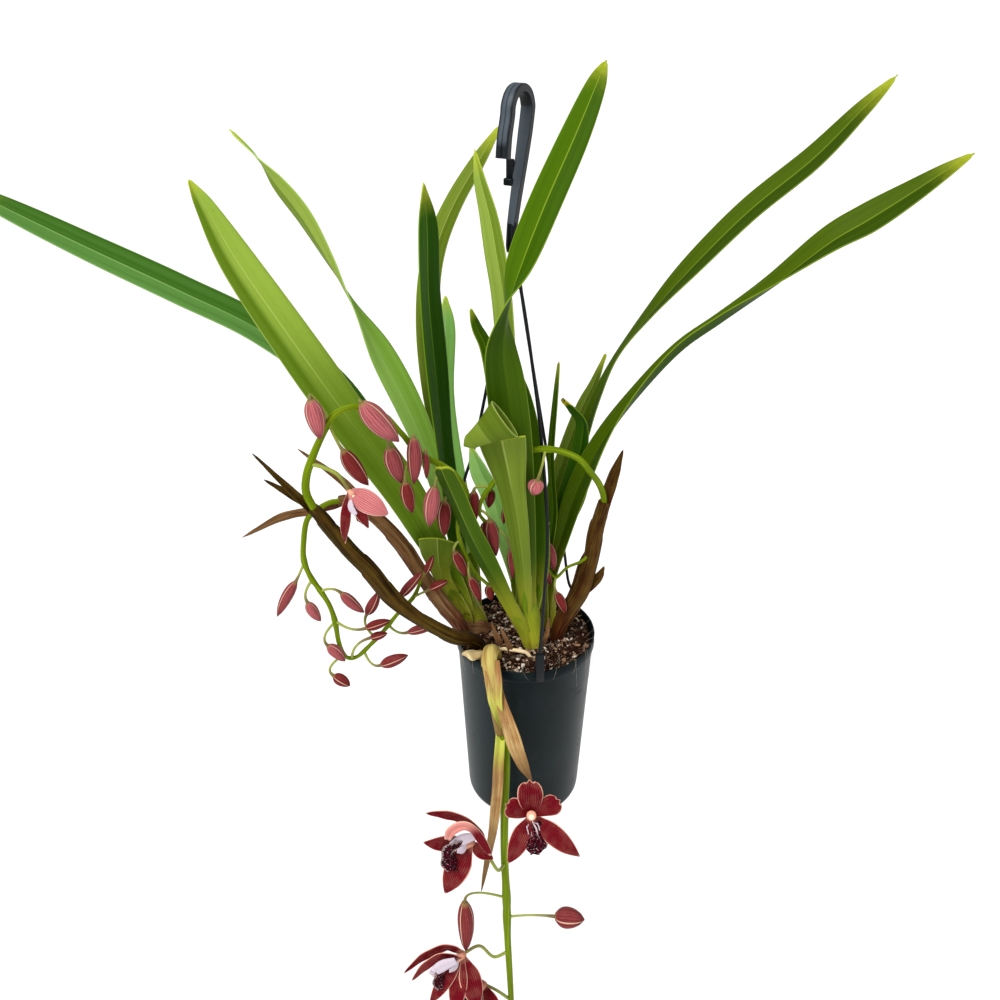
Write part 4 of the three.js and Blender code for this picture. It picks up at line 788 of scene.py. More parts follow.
STALK_SIDES = 32
STALK_STEPS = 14
TIP_COLUMNS = 10
TIP_STEPS = 10
SHEATHS_ALONG = {"left_upper": 5, "left_lower": 5, "right": 4, "front": 3}
SHEATH_COLOURS = {
    "left_upper": [(38, 24, 8), (84, 62, 24), (112, 100, 36), (42, 20, 11)],
    "left_lower": [(82, 48, 26), (132, 98, 60), (176, 152, 112), (86, 30, 32)],
    "right": [(52, 28, 14), (90, 64, 28), (118, 104, 46), (68, 22, 20)],
    "front": [(162, 120, 74), (206, 174, 118), (108, 56, 38), (150, 104, 64)],
}
SHEATH_LIME = (200, 212, 88)
SHEATH_WITHERED = (84, 54, 34)
SHEATH_THICKNESS = 0.0007
SHEATH_SLIM = {"left_upper": 0.88, "left_lower": 1.0, "right": 0.95, "front": 1.0}
TIP_TUCK = 0.03
TIP_LIMES = {"front": [lambda along: 0.9 * along, lambda along: 0.1, lambda along: 0.9 - 3 * along]}


def sheath_finish(name, deep, light, streak, foot):
    """Dry sheath skin: soft bands and fine streaks that run its length, with a dark foot. The tint
    turns it lime where it is still green, and the front one withers towards its ends."""
    finish = Finish(name, {"IOR": 1.4})
    across, along, _ = finish.parts(finish.place("UV"))
    place = finish.place("Object")
    bands = finish.noise(finish.join(across * 9, along * 3, 1.0), 1.0, 2)
    fibres = finish.noise(finish.join(across * 48, along * 4, 5.0), 1.0, 3)
    blotch = finish.noise(place, 90, 3)
    color = finish.mix(finish.rise(bands + blotch * 0.3, 0.45, 0.85), paint(*deep), paint(*light))
    color = finish.mix((1 - finish.rise(along + blotch * 0.2, 0.2, 0.6)) * 0.8, color, paint(*foot))
    green = finish.rise(finish.attribute("tint") + bands * 0.3, 0.3, 0.9)
    color = finish.mix(green * 0.9, color, paint(*SHEATH_LIME))
    color = finish.mix(finish.rise(fibres, 0.5, 0.68) * 0.4, color, paint(*streak))
    if name == "sheath_front":
        withered = finish.rise(along + bands * 0.4, 0.75, 1.2) * 0.7
        color = finish.mix(withered, color, paint(*SHEATH_WITHERED))
    finish.show(color, 0.46 + blotch * 0.2, fibres + bands, 0.0005, 0.6)
    return finish


for side, rows in STALK_PATHS.items():
    finish = sheath_finish("sheath_" + side, *SHEATH_COLOURS[side])
    sheaths = SHEATHS_ALONG[side]

    def overlap(angle, along):
        """Each sheath widens a little to its long slanted mouth, where the next comes out of it."""
        place = along * sheaths + 0.42 * math.cos(angle - 2.2 * int(along * sheaths))
        ribs = 0.03 * math.cos(2 * angle + 3 * along) + 0.014 * math.cos(11 * angle)
        return (0.9 + 0.13 * (place % 1) + ribs) * SHEATH_SLIM[side]

    bm = new_bmesh()
    tube(bm, rows, STALK_SIDES, STALK_STEPS * (len(rows) - 1), STALK_LIMES[side], overlap)
    if side == "right":
        tube(bm, TWIG, 8, 20, 0.0)
    slot = "sheath_tan" if side == "front" else "sheath_brown"
    settle(make_piece("stalk_sheath_" + side, bm, [finish]), slot, "stalk_" + side)
    bm = new_bmesh()
    for number, tip in enumerate(SHEATH_TIPS[side]):

        def tucked(along):
            """The tip's frame, its foot tucked under the sheath that it leaves."""
            point, across, face, half, slope = blade_frame(tip, along)
            return point - face * TIP_TUCK * max(0, 0.12 - along), across, face, half, slope

        start, end = Vector(tip[0][:3]), Vector(tip[-1][:3])
        for vert in strip(bm, tucked, TIP_COLUMNS, TIP_STEPS * (len(tip) - 1), curl=0.1, ripple=0.0005):
            along = (start - (vert.co - RIM_CENTRE) * 1000).length / (start - end).length
            lime = TIP_LIMES[side][number](along) if side in TIP_LIMES else 0.0
            vert[bm.verts.layers.float["tint"]] = lime
    piece = make_piece("stalk_tips_" + side, bm, [finish], thickness=SHEATH_THICKNESS)
    settle(piece, slot, "stalk_" + side)

# Flower stems with their buds
# Lime green stems that arch and hang, grown out of the sheaths, with a pedicel to every bud. The buds are
# pointed, three-ribbed and dusky pink to maroon. A stem is listed by its middle and radius, a bud by its
# place on the stem, its foot, its tip and its width.
STEMS = {
    "left_upper": [[-157, -65, 153, 3], [-163, -66, 170, 3], [-162, -66, 184, 3], [-157, -66, 198, 2.9],
                   [-149, -66, 215, 2.5], [-139, -66, 232, 2.3], [-127, -64, 238, 2.3],
                   [-115, -61, 236, 2.2], [-104, -57, 228, 2.2], [-93, -53, 213, 2.1],
                   [-81, -48, 194, 2.1], [-66, -44, 183, 2], [-56, -41, 174, 2], [-47, -38, 155, 1.9],
                   [-53, -36, 138, 1.7], [-55, -33, 120, 1.6], [-51, -30, 100, 1.5],
                   [-43, -27, 78, 1.4], [-32, -24, 63, 1.2]],
    "left_lower": [[-142, -33, 146, 2.1], [-152, -35, 146, 2.1], [-162, -37, 141, 2.2],
                   [-171, -38, 132, 2.2], [-175, -40, 114, 2.2], [-176, -42, 98, 2.1],
                   [-172, -43, 83, 2], [-165, -44, 70, 2], [-159, -44, 56, 2], [-156, -43, 39, 2],
                   [-155, -41, 17, 1.9],
                   [-151, -39, 1, 1.6], [-142, -37, -1, 1.5], [-131, -35, 9, 1.6], [-118, -32, 23, 1.6],
                   [-106, -29, 38, 1.6], [-93, -26, 52, 1.5], [-86, -23, 68, 1.4], [-82, -22, 76, 1.2]],
    "right": [[62, -3, 122, 2.6], [61, -4, 134, 2.6], [56, -10, 149, 2.6], [48, -17, 163, 2.5],
              [38, -22, 177, 2.5], [23, -29, 187, 2.5], [12, -32, 190, 2.4], [1, -32, 189, 2.3],
              [-11, -32, 184, 2.2], [-20, -32, 174, 2], [-27, -33, 162, 1.9], [-33, -33, 153, 1.8],
              [-37, -33, 144, 1.6], [-38, -33, 135, 1.4], [-34, -33, 128, 1.2]],
    "middle": [[53, -6, 82, 1.4], [45, -8, 75, 1.3], [34, -6, 68, 1.2], [25, -4, 57, 1.3],
               [18, -2, 64, 1.3], [14, -1, 78, 1.2], [14, -1, 93, 1.2], [16, -1, 104, 1]],
    "front": [[-21, -73, -44, 3.4], [-17, -74, -76, 3.6], [-18, -76, -137, 3.6], [-18, -77, -192, 3.5],
              [-16, -78, -247, 3.4], [-15, -79, -297, 3.3], [-13, -80, -343, 3.1], [-11, -81, -392, 2.8],
              [-10, -81, -436, 2.3], [-12, -80, -468, 1.6]],
}
BUDS = {
    "left_upper": [
        [4.8, [-152, -74, 248], [-147, -78, 220], 13], [4.7, [-133, -71, 208], [-117, -69, 179], 12],
        [7, [-117, -72, 245], [-93, -71, 215], 16], [8.2, [-101, -62, 206], [-94, -60, 176], 13],
        [9.8, [-91, -62, 178], [-87, -62, 152], 10], [9.6, [-84, -58, 212], [-85, -60, 175], 11],
        [10.3, [-76, -56, 199], [-76, -57, 178], 5], [11, [-70, -56, 171], [-75, -60, 139], 12],
        [13.6, [-64, -44, 152], [-65, -44, 121], 11], [15.5, [-58, -36, 102], [-49, -34, 77], 9],
        [16.5, [-46, -36, 78], [-38, -34, 53], 8], [18, [-31, -24, 62], [-29, -24, 47], 8],
    ],
    "left_lower": [
        [5.1, [-184, -44, 79], [-202, -45, 46], 9], [6.2, [-175, -50, 63], [-166, -50, 45], 9],
        [7, [-148, -48, 71], [-131, -48, 52], 9], [8.9, [-131, -46, 35], [-111, -42, 40], 8],
        [9, [-163, -48, 19], [-150, -48, 3], 10], [10.8, [-162, -42, -17], [-149, -42, -28], 10],
        [13.5, [-131, -36, 42], [-120, -36, 64], 9], [11.6, [-128, -44, 24], [-114, -43, 28], 7],
        [12.6, [-122, -38, -9], [-99, -36, 0], 10], [14.3, [-99, -30, 19], [-72, -28, 28], 8],
        [15.6, [-103, -36, 59], [-84, -34, 82], 8], [18, [-82, -28, 77], [-75, -30, 95], 6],
        [16, [-79, -28, 61], [-64, -28, 69], 7],
    ],
    "right": [
        [6, [6, -46, 171], [2, -47, 159], 12], [10.4, [-42, -34, 155], [-41, -34, 129], 9],
        [11.2, [-29, -26, 152], [-31, -26, 136], 8], [12.6, [-30, -36, 131], [-25, -36, 98], 11],
        [14, [-34, -28, 124], [-34, -28, 108], 7], [13.8, [-14, -30, 100], [-12, -30, 72], 6],
        [9.2, [-19, -26, 134], [-19, -26, 121], 4],
    ],
    "middle": [
        [6.6, [16, -4, 109], [7, -4, 99], 9], [6, [11, -1, 94], [11, -1, 80], 6],
        [5.6, [17, -4, 91], [23, -5, 64], 9], [4.6, [12, -4, 72], [21, -4, 49], 8],
        [3, [25, -12, 47], [33, -18, 30], 8],
    ],
    "front": [
        [4, [-54, -91, -237], [-54, -94, -300], 15], [4.5, [29, -84, -265], [56, -86, -267], 19],
        [8.3, [-32, -88, -431], [-42, -92, -460], 12], [8.6, [8, -86, -447], [20, -90, -470], 11],
        [9, [-10, -81, -482], [-8, -82, -504], 9],
    ],
}
BLOOM_PEDICELS = {
    "left_upper": [[2.8, [[-148, -70, 194], [-138, -73, 190], [-132, -73, 180], [-131.3, -73, 178]]]],
    "front": [[2.1, [[-5, -86, -118], [2, -97, -116], [3.6, -101, -116]]],
              [3.2, [[-24, -92, -194], [-34, -96, -168], [-46, -95.6, -155]]],
              [5.5, [[-28, -87, -318], [-41, -91, -297], [-56, -95.5, -302]]],
              [7, [[-24, -85, -372], [-37, -88.7, -356]]],
              [7.5, [[8, -86, -400], [25, -91.6, -405.6]]]],
}
BUD_GIRTH = [0.36, 0.76, 0.96, 1.02, 0.99, 0.90, 0.73, 0.48, 0.06]
BUD_TINTS = {
    "left_upper": [0.1, 0.9, 0.15, 0.6, 0.9, 0.6, 0.8, 0.3, 0.9, 0.9, 0.9, 0.9],
    "left_lower": [0.6, 0.25, 0.5, 0.9, 0.35, 0.85, 0.75, 0.9, 0.8, 0.7, 0.8, 0.9, 0.9],
    "right": [0.0, 0.9, 0.9, 0.8, 0.9, 0.8, 0.9],
    "middle": [0.95, 0.95, 0.65, 0.75, 0.9],
    "front": [0.8, 0.75, 0.8, 0.8, 0.7],
}
STEM_LIME = (102, 122, 8)
STEM_PALE = (144, 170, 36)
PEDICEL_BROWN = (112, 92, 66)
PEDICEL_PALE = (176, 180, 96)
BUD_PINK = (196, 110, 114)
BUD_MAROON = (118, 44, 42)
BUD_DEEP = (76, 20, 24)
BUD_RIB = (232, 184, 158)
BUD_FOOT = (146, 122, 74)
STEM_SIDES = 14
STEM_STEPS = 12
NECK_STEPS = 6
PEDICEL_SIDES = 10
PEDICEL_STEPS = 21
BUD_SIDES = 24
BUD_STEPS = 20

stem_finish = Finish("stem_green", {"IOR": 1.45})
place = stem_finish.place("Object")
around, along, _ = stem_finish.parts(stem_finish.place("UV"))
streaks = stem_finish.noise(stem_finish.join(around * 14, along * 8, 2.0), 1.0, 2)
patches = stem_finish.noise(place, 120, 2)
lime = stem_finish.mix(stem_finish.rise(streaks, 0.45, 0.75) * 0.7, paint(*STEM_LIME), paint(*STEM_PALE))
lime = stem_finish.mix(stem_finish.attribute("tint") * 0.7, lime, paint(*PEDICEL_PALE))
brown = stem_finish.attribute("tint") * stem_finish.rise(along + patches * 0.3, 0.5, 0.95)
skin = stem_finish.mix(brown, lime, paint(*PEDICEL_BROWN))
stem_finish.show(skin, 0.4 + streaks * 0.12, streaks, 0.0003)

bud_finish = Finish("bud_skin", {"IOR": 1.45})
place = bud_finish.place("Object")
around, along, _ = bud_finish.parts(bud_finish.place("UV"))
seam = abs((around * 3) % 1 - 0.5) * 2
ribs = bud_finish.noise(bud_finish.join(around * 30, along * 2, 4.0), 1.0, 2)
haze = bud_finish.noise(place, 260, 3)
skin = bud_finish.mix(bud_finish.attribute("tint") + haze * 0.2, paint(*BUD_PINK), paint(*BUD_MAROON))
veins = bud_finish.rise(abs((around * 21 + haze * 0.6) % 1 - 0.5) * 2, 0.55, 0.95)
skin = bud_finish.mix(bud_finish.rise(ribs, 0.48, 0.7) * 0.35 + veins * 0.4, skin, paint(*BUD_DEEP))
skin = bud_finish.mix(bud_finish.rise(along + ribs * 0.2, 0.7, 1.1) * 0.6, skin, paint(*BUD_DEEP))
skin = bud_finish.mix(bud_finish.rise(seam, 0.5, 0.82) * 0.3, skin, paint(*BUD_DEEP))
skin = bud_finish.mix(bud_finish.rise(seam, 0.88, 0.95) * 0.8, skin, paint(*BUD_RIB))
skin = bud_finish.mix((1 - bud_finish.rise(along, 0.03, 0.12)) * 0.8, skin, paint(*BUD_FOOT))
relief = ribs + bud_finish.rise(seam, 0.86, 0.96)
bud_finish.show(skin, 0.44 + haze * 0.15, relief, 0.0006)


def add_bud(stems, buds, stem, bud, tint):
    """Adds a bud and its slender pedicel, which leaves the stem and bends over to the foot of it."""
    station, foot, tip, width = bud
    start = Vector(along_rows(stem, station)[:3])
    foot, tip = Vector(foot), Vector(tip)
    direction = (tip - foot).normalized()
    bend = foot - direction * (foot - start).length * 0.5
    neck = []
    for step in range(NECK_STEPS + 1):
        share = step / NECK_STEPS
        point = start * (1 - share) ** 2 + bend * 2 * share * (1 - share) + foot * share ** 2
        neck.append([*point, 1.25 - 0.25 * math.sin(math.pi * share) + 0.03 * width * share ** 6])
    neck.append([*(foot + direction * 1.2), 0.8 + 0.08 * width])
    tube(stems, neck, PEDICEL_SIDES, PEDICEL_STEPS, random.uniform(0.7, 1))
    sag = direction.cross(Vector((random.uniform(-1, 1), random.uniform(-1, 1), 0.3))).normalized()
    rows = []
    for step, girth in enumerate(BUD_GIRTH):
        share = step / (len(BUD_GIRTH) - 1)
        point = foot.lerp(tip, share) + sag * width * 0.07 * math.sin(math.pi * share)
        rows.append([*point, girth * width / 2])
    tube(buds, rows, BUD_SIDES, BUD_STEPS, tint,
         lambda angle, along: 0.9 + 0.13 * abs(math.sin(1.5 * angle)) ** 0.6)


random.seed(7)
for side, stem in STEMS.items():
    stems, buds = new_bmesh(), new_bmesh()
    knots = [bud[0] / (len(stem) - 1) for bud in BUDS[side]]

    def knotted(angle, along):
        """The stem thickens a little where a pedicel leaves it."""
        near = min(abs(along - knot) for knot in knots)
        return 1 + 0.22 * math.exp(-(near * len(stem) * 3) ** 2)

    tube(stems, stem, STEM_SIDES, STEM_STEPS * (len(stem) - 1), 0.0, knotted)
    for bud, tint in zip(BUDS[side], BUD_TINTS[side]):
        add_bud(stems, buds, stem, bud, tint)
    for station, points in BLOOM_PEDICELS.get(side, []):
        rows = [[*along_rows(stem, station)[:3], 1.6]] + [[*point, 1.5] for point in points]
        tube(stems, rows, PEDICEL_SIDES, 8 * len(points), 0.7)
    node = "raceme_" + side
    settle(make_piece("flower_stem_" + side, stems, [stem_finish]), "stem_green", node)
    settle(make_piece("buds_" + side, buds, [bud_finish]), "petal_burgundy", node)

# Blooms
# Burgundy tepals, with arched sepals on two blooms and a peach hood on one, round a peach column with a
# cream cap and a near-black lip with pale lobes. Each bloom grew at the end of its pedicel. A tepal is
# listed by its tip, its width and the way that it looks, where that is not the bloom's way.
BLOOMS = {
    "front": {
        "centre": [4, -102, -116], "face": [0, -0.82, 0.57],
        "tepals": [[[2, -104, -75], 21], [[-17, -106, -100], 17], [[27, -106, -95], 17],
                   [[-15, -126, -146], 17], [[44, -124, -140], 17]],
        "lip": [[4, -107, -121, 11, 0, -30], [6, -113, -123, 16, 0, -35], [7, -120, -128, 16, 0, -20],
                [7, -123, -138, 13, 0, 0]],
        "forms": ["broad", "blunt", "blunt", "pointed", "pointed"],
    },
    "left": {
        "centre": [-47, -96, -155], "face": [-0.8, -0.5, -0.2],
        "tepals": [[[-86, -112, -137], 14, [-0.2, -0.8, 0.5]],
                   [[-69, -118, -192], 22, [-0.2, -0.8, 0.5]],
                   [[-28, -100, -171], 13, [-0.1, -0.8, 0.5]]],
        "lip": [[-52, -101, -151, 6, -60, -30], [-60, -108, -151, 15, -60, -35],
                [-63, -112, -157, 13, -60, -20], [-60, -113, -167, 10, -60, 0]],
        "forms": ["pointed", "pointed", "pointed"],
        "arches": [[[-36, -95, -154, 5], [-42, -97, -139, 8], [-56, -101, -121, 10],
                    [-71, -103, -114, 9], [-84, -104, -112, 1]]],
        "hood": [[-66, -111, -135, 6], [-62, -113, -123, 11], [-53, -113, -117, 12],
                 [-44, -111, -124, 9], [-37, -107, -142, 9], [-30, -104, -162, 4]],
        "throat": [[-43, -104, -140, 8, 0, 10], [-53, -106, -142, 13, 0, 10],
                   [-63, -108, -147, 8, 0, 10]],
    },
    "lower": {
        "centre": [-57, -96, -303], "face": [-0.75, -0.5, -0.35],
        "tepals": [[[-87, -118, -342], 14, [-0.2, -0.7, 0.5]],
                   [[-43, -118, -349], 21, [0.3, -0.8, 0.5]],
                   [[-64, -123, -352], 17, [-0.1, -0.8, 0.6]]],
        "lip": [[-62, -101, -303, 6, -60, -30], [-70, -108, -306, 15, -60, -35],
                [-75, -112, -314, 13, -60, -20], [-73, -113, -326, 10, -60, 0]],
        "forms": ["pointed", "pointed", "pointed"],
        "arches": [[[-58, -98, -296, 7], [-72, -101, -286, 10], [-92, -106, -292, 9],
                    [-111, -111, -309, 1]],
                   [[-59, -101, -302, 7], [-75, -107, -290, 10], [-91, -113, -297, 9],
                    [-103, -117, -311, 1]]],
        "throat": [[-62, -111, -292, 9, 0, 10], [-74, -113, -297, 14, 0, 10],
                   [-85, -115, -306, 8, 0, 10]],
    },
    "lowest_left": {
        "centre": [-38, -89, -355], "face": [-0.5, -0.55, -0.66],
        "tepals": [[[-58, -90, -334], 14], [[-60, -114, -374], 14],
                   [[-37, -96, -396], 16, [-0.2, -0.8, 0.5]], [[-66, -92, -392], 15, [-0.3, -0.8, 0.4]],
                   [[-20, -118, -380], 15, [0.1, -0.7, 0.6]]],
        "lip": [[-42, -94, -360, 6, -40, -30], [-47, -101, -365, 14, -40, -35],
                [-51, -106, -373, 12, -40, -20], [-50, -107, -383, 9, -40, 0]],
        "forms": ["pointed"] * 5,
    },
    "lowest_right": {
        "centre": [26, -92, -406], "face": [0.55, -0.8, -0.2],
        "tepals": [[[27, -95, -374], 18], [[0, -108, -398], 13], [[56, -104, -388], 13],
                   [[12, -112, -440], 16], [[52, -110, -438], 16]],
        "lip": [[29, -98, -409, 6, 30, -30], [33, -105, -411, 15, 30, -35],
                [37, -110, -417, 13, 30, -20], [37, -111, -427, 10, 30, 0]],
        "forms": ["broad", "blunt", "blunt", "pointed", "pointed"],
    },
    "upper": {
        "centre": [-131, -73, 177], "face": [0.6, -0.5, -0.6],
        "tepals": [[[-103, -80, 161], 16, [0.15, -0.85, 0.5]], [[-110, -66, 163], 13],
                   [[-136, -77, 135], 8, [-0.1, -0.8, 0.3]], [[-117, -84, 152], 9, [0.2, -0.8, 0.3]]],
        "lip": [[-128, -76, 172, 5, 0, -30], [-124, -79, 163, 8, 0, -30], [-121, -80, 154, 6, 0, -20]],
        "forms": ["blush", "pointed", "pointed", "pointed"],
    },
}
TEPAL_GIRTHS = {
    "pointed": [0.26, 0.60, 0.92, 1.02, 0.96, 0.78, 0.46, 0.06],
    "broad": [0.42, 0.62, 0.84, 0.99, 1.04, 1.0, 0.86, 0.46],
    "blunt": [0.26, 0.46, 0.66, 0.84, 0.98, 1.06, 0.94, 0.50],
    "blush": [0.34, 0.74, 1.00, 1.06, 1.00, 0.82, 0.52, 0.12],
}
TEPAL_BOW = [0, 0.35, 0.62, 0.8, 0.9, 0.9, 0.6, 0.1]
TEPAL_CUP = math.radians(14)
TEPAL_GRID = (14, 24)
ARCH_FOLD = 14
ARCH_GRID = (12, 26)
HOOD_FOLD = 30
HOOD_GRID = (14, 30)
PETAL_THICKNESS = 0.0006
PETAL_BURGUNDY = (116, 18, 32)
PETAL_DEEP = (62, 6, 14)
PETAL_EDGE = (240, 184, 158)
PETAL_PEACH = (230, 152, 142)
PEACH_VEIN = (190, 92, 90)
PEACH_EDGE = (250, 214, 188)
PETAL_BLUSH = (206, 124, 124)
BLUSH_VEIN = (164, 70, 80)
BLUSH_EDGE = (240, 190, 178)
LIP_DARK = (30, 4, 14)
LIP_MAROON = (96, 14, 36)
LIP_WHITE = (232, 210, 206)
LIP_SPREAD = 1.45
LIP_GRID = (18, 28)
LOBE_PATH = [[0, 2.4, 0, 3], [0.5, 4.6, 0, 7.5], [1.1, 5, 2.5, 4]]
LOBE_GRID = (8, 12)
THROAT_GRID = (10, 16)
THROAT_LILAC = (206, 192, 204)
COLUMN_PEACH = (238, 170, 140)
COLUMN_CREAM = (250, 238, 206)
COLUMN_REACH = 10
COLUMN_RISE = Vector((0, 0, 2))
COLUMN_GRID = (18, 28)
COLUMN_GIRTHS = [[-0.3, 2.2], [0, 3.2], [0.2, 3.0], [0.5, 2.9], [0.75, 3.2], [0.95, 3.1], [1.05, 1.2]]
CAP_GIRTHS = [[0.84, 0.6], [0.92, 1.7], [1.02, 2.1], [1.12, 1.7], [1.2, 0.5]]
CAP_DROP = Vector((0, 0, -1.2))
CAP_GRID = (16, 16)
SMALL_COLUMN = 0.6
FULL_COLUMN = 1.25


def petal_finish(name, ground, deep, edge):
    """A tepal's skin: dark lengthwise veins, a thin pale edge and foot, and a fine sparkle of cells.
    The peach hood turns burgundy over its far half."""
    finish = Finish(name, {"IOR": 1.4})
    across, along, _ = finish.parts(finish.place("UV"))
    place = finish.place("Object")
    from_rib = abs(across - 0.5) * 2
    wander = finish.noise(place, 90, 2) * 0.05
    veins = 1 - finish.rise(abs(((across + wander) * 11) % 1 - 0.5) * 2, 0.1, 0.7)
    cells = finish.noise(place, 900, 2)
    clouds = finish.noise(place, 90, 2)
    color = finish.mix(finish.rise(clouds, 0.35, 0.7) * 0.08, paint(*ground), paint(*edge))
    color = finish.mix(finish.rise(cells, 0.58, 0.8) * 0.12, color, paint(*edge))
    color = finish.mix(veins * (1 - finish.rise(from_rib, 0.7, 0.95)) * 0.75, color, paint(*deep))
    color = finish.mix((1 - finish.rise(from_rib, 0.0, 0.05)) * 0.5, color, paint(*deep))
    if name == "petal_peach":
        color = finish.mix(finish.rise(along + wander, 0.5, 0.72), color, paint(*PETAL_BURGUNDY))
    ends = finish.rise(along, 0.955, 0.99) + (1 - finish.rise(along, 0.02, 0.12)) * 0.4
    rim = finish.rise(from_rib + cells * 0.06, 0.93, 0.985)
    color = finish.mix(rim * 0.9 + ends * 0.6, color, paint(*edge))
    finish.show(color, 0.5 + cells * 0.15, veins * 0.7 + cells * 0.6, 0.0005)
    return finish


petal_skins = {
    "pointed": petal_finish("petal_front", PETAL_BURGUNDY, PETAL_DEEP, PETAL_EDGE),
    "hood": petal_finish("petal_peach", PETAL_PEACH, PEACH_VEIN, PEACH_EDGE),
    "blush": petal_finish("petal_blush", PETAL_BLUSH, BLUSH_VEIN, BLUSH_EDGE),
}

lip_finish = Finish("lip_velvet", {"IOR": 1.4})
across, along, _ = lip_finish.parts(lip_finish.place("UV"))
place = lip_finish.place("Object")
from_rib = abs(across - 0.5) * 2
spots = lip_finish.noise(place, 620, 2)
velvet = lip_finish.mix(lip_finish.rise(spots, 0.42, 0.7), paint(*LIP_DARK), paint(*LIP_MAROON))
flecks = lip_finish.rise(lip_finish.noise(place, 1100, 1), 0.68, 0.72)
keels = 1 - lip_finish.rise(abs(from_rib - 0.24), 0.02, 0.09)
keels = keels * (1 - lip_finish.rise(along, 0.3, 0.55))
fringe = lip_finish.rise(from_rib + spots * 0.5, 1.12, 1.2)
pale = keels * 0.8 + fringe * 0.3 + flecks * 0.7
lip_finish.show(lip_finish.mix(pale, velvet, paint(*LIP_WHITE)), 0.5 + spots * 0.2, spots, 0.0006)

throat_finish = Finish("lip_side_lobe", {"IOR": 1.4})
place = throat_finish.place("Object")
_, along, _ = throat_finish.parts(throat_finish.place("UV"))
spots = throat_finish.noise(place, 500, 2)
streak = throat_finish.rise(spots + along * 0.2, 0.76, 0.9)
skin = throat_finish.mix(streak * 0.8, paint(*THROAT_LILAC), paint(*LIP_MAROON))
throat_finish.show(skin, 0.5 + spots * 0.2, spots, 0.0005)

column_finish = Finish("column_wax", {"IOR": 1.45})
place = column_finish.place("Object")
_, along, _ = column_finish.parts(column_finish.place("UV"))
freckles = column_finish.rise(column_finish.noise(place, 800, 2), 0.55, 0.7)
blush = (1 - column_finish.rise(along, 0.1, 0.5)) * 0.5 + freckles * 0.15
wax = column_finish.mix(blush, paint(*COLUMN_PEACH), paint(*PETAL_BURGUNDY))
wax = column_finish.mix(column_finish.attribute("tint"), wax, paint(*COLUMN_CREAM))
column_finish.show(wax, 0.4 + freckles * 0.1, freckles, 0.0003)


def tepal_frame(centre, look, tip, width, form, along):
    """The frame of a tepal, which bows towards the way that it looks and turns back at its tip."""
    length = tip - centre
    girths = TEPAL_GIRTHS[form]
    place = along * (len(girths) - 1)
    girth = along_rows([[girth] for girth in girths], place)[0]
    bow = along_rows([[bow] for bow in TEPAL_BOW], place)[0]
    point = centre + length * (0.05 + 0.95 * along) + look * (bow * length.length * 0.1)
    across = length.cross(look).normalized()
    return at(*point), across, across.cross(length).normalized(), width * girth / 2000, TEPAL_CUP


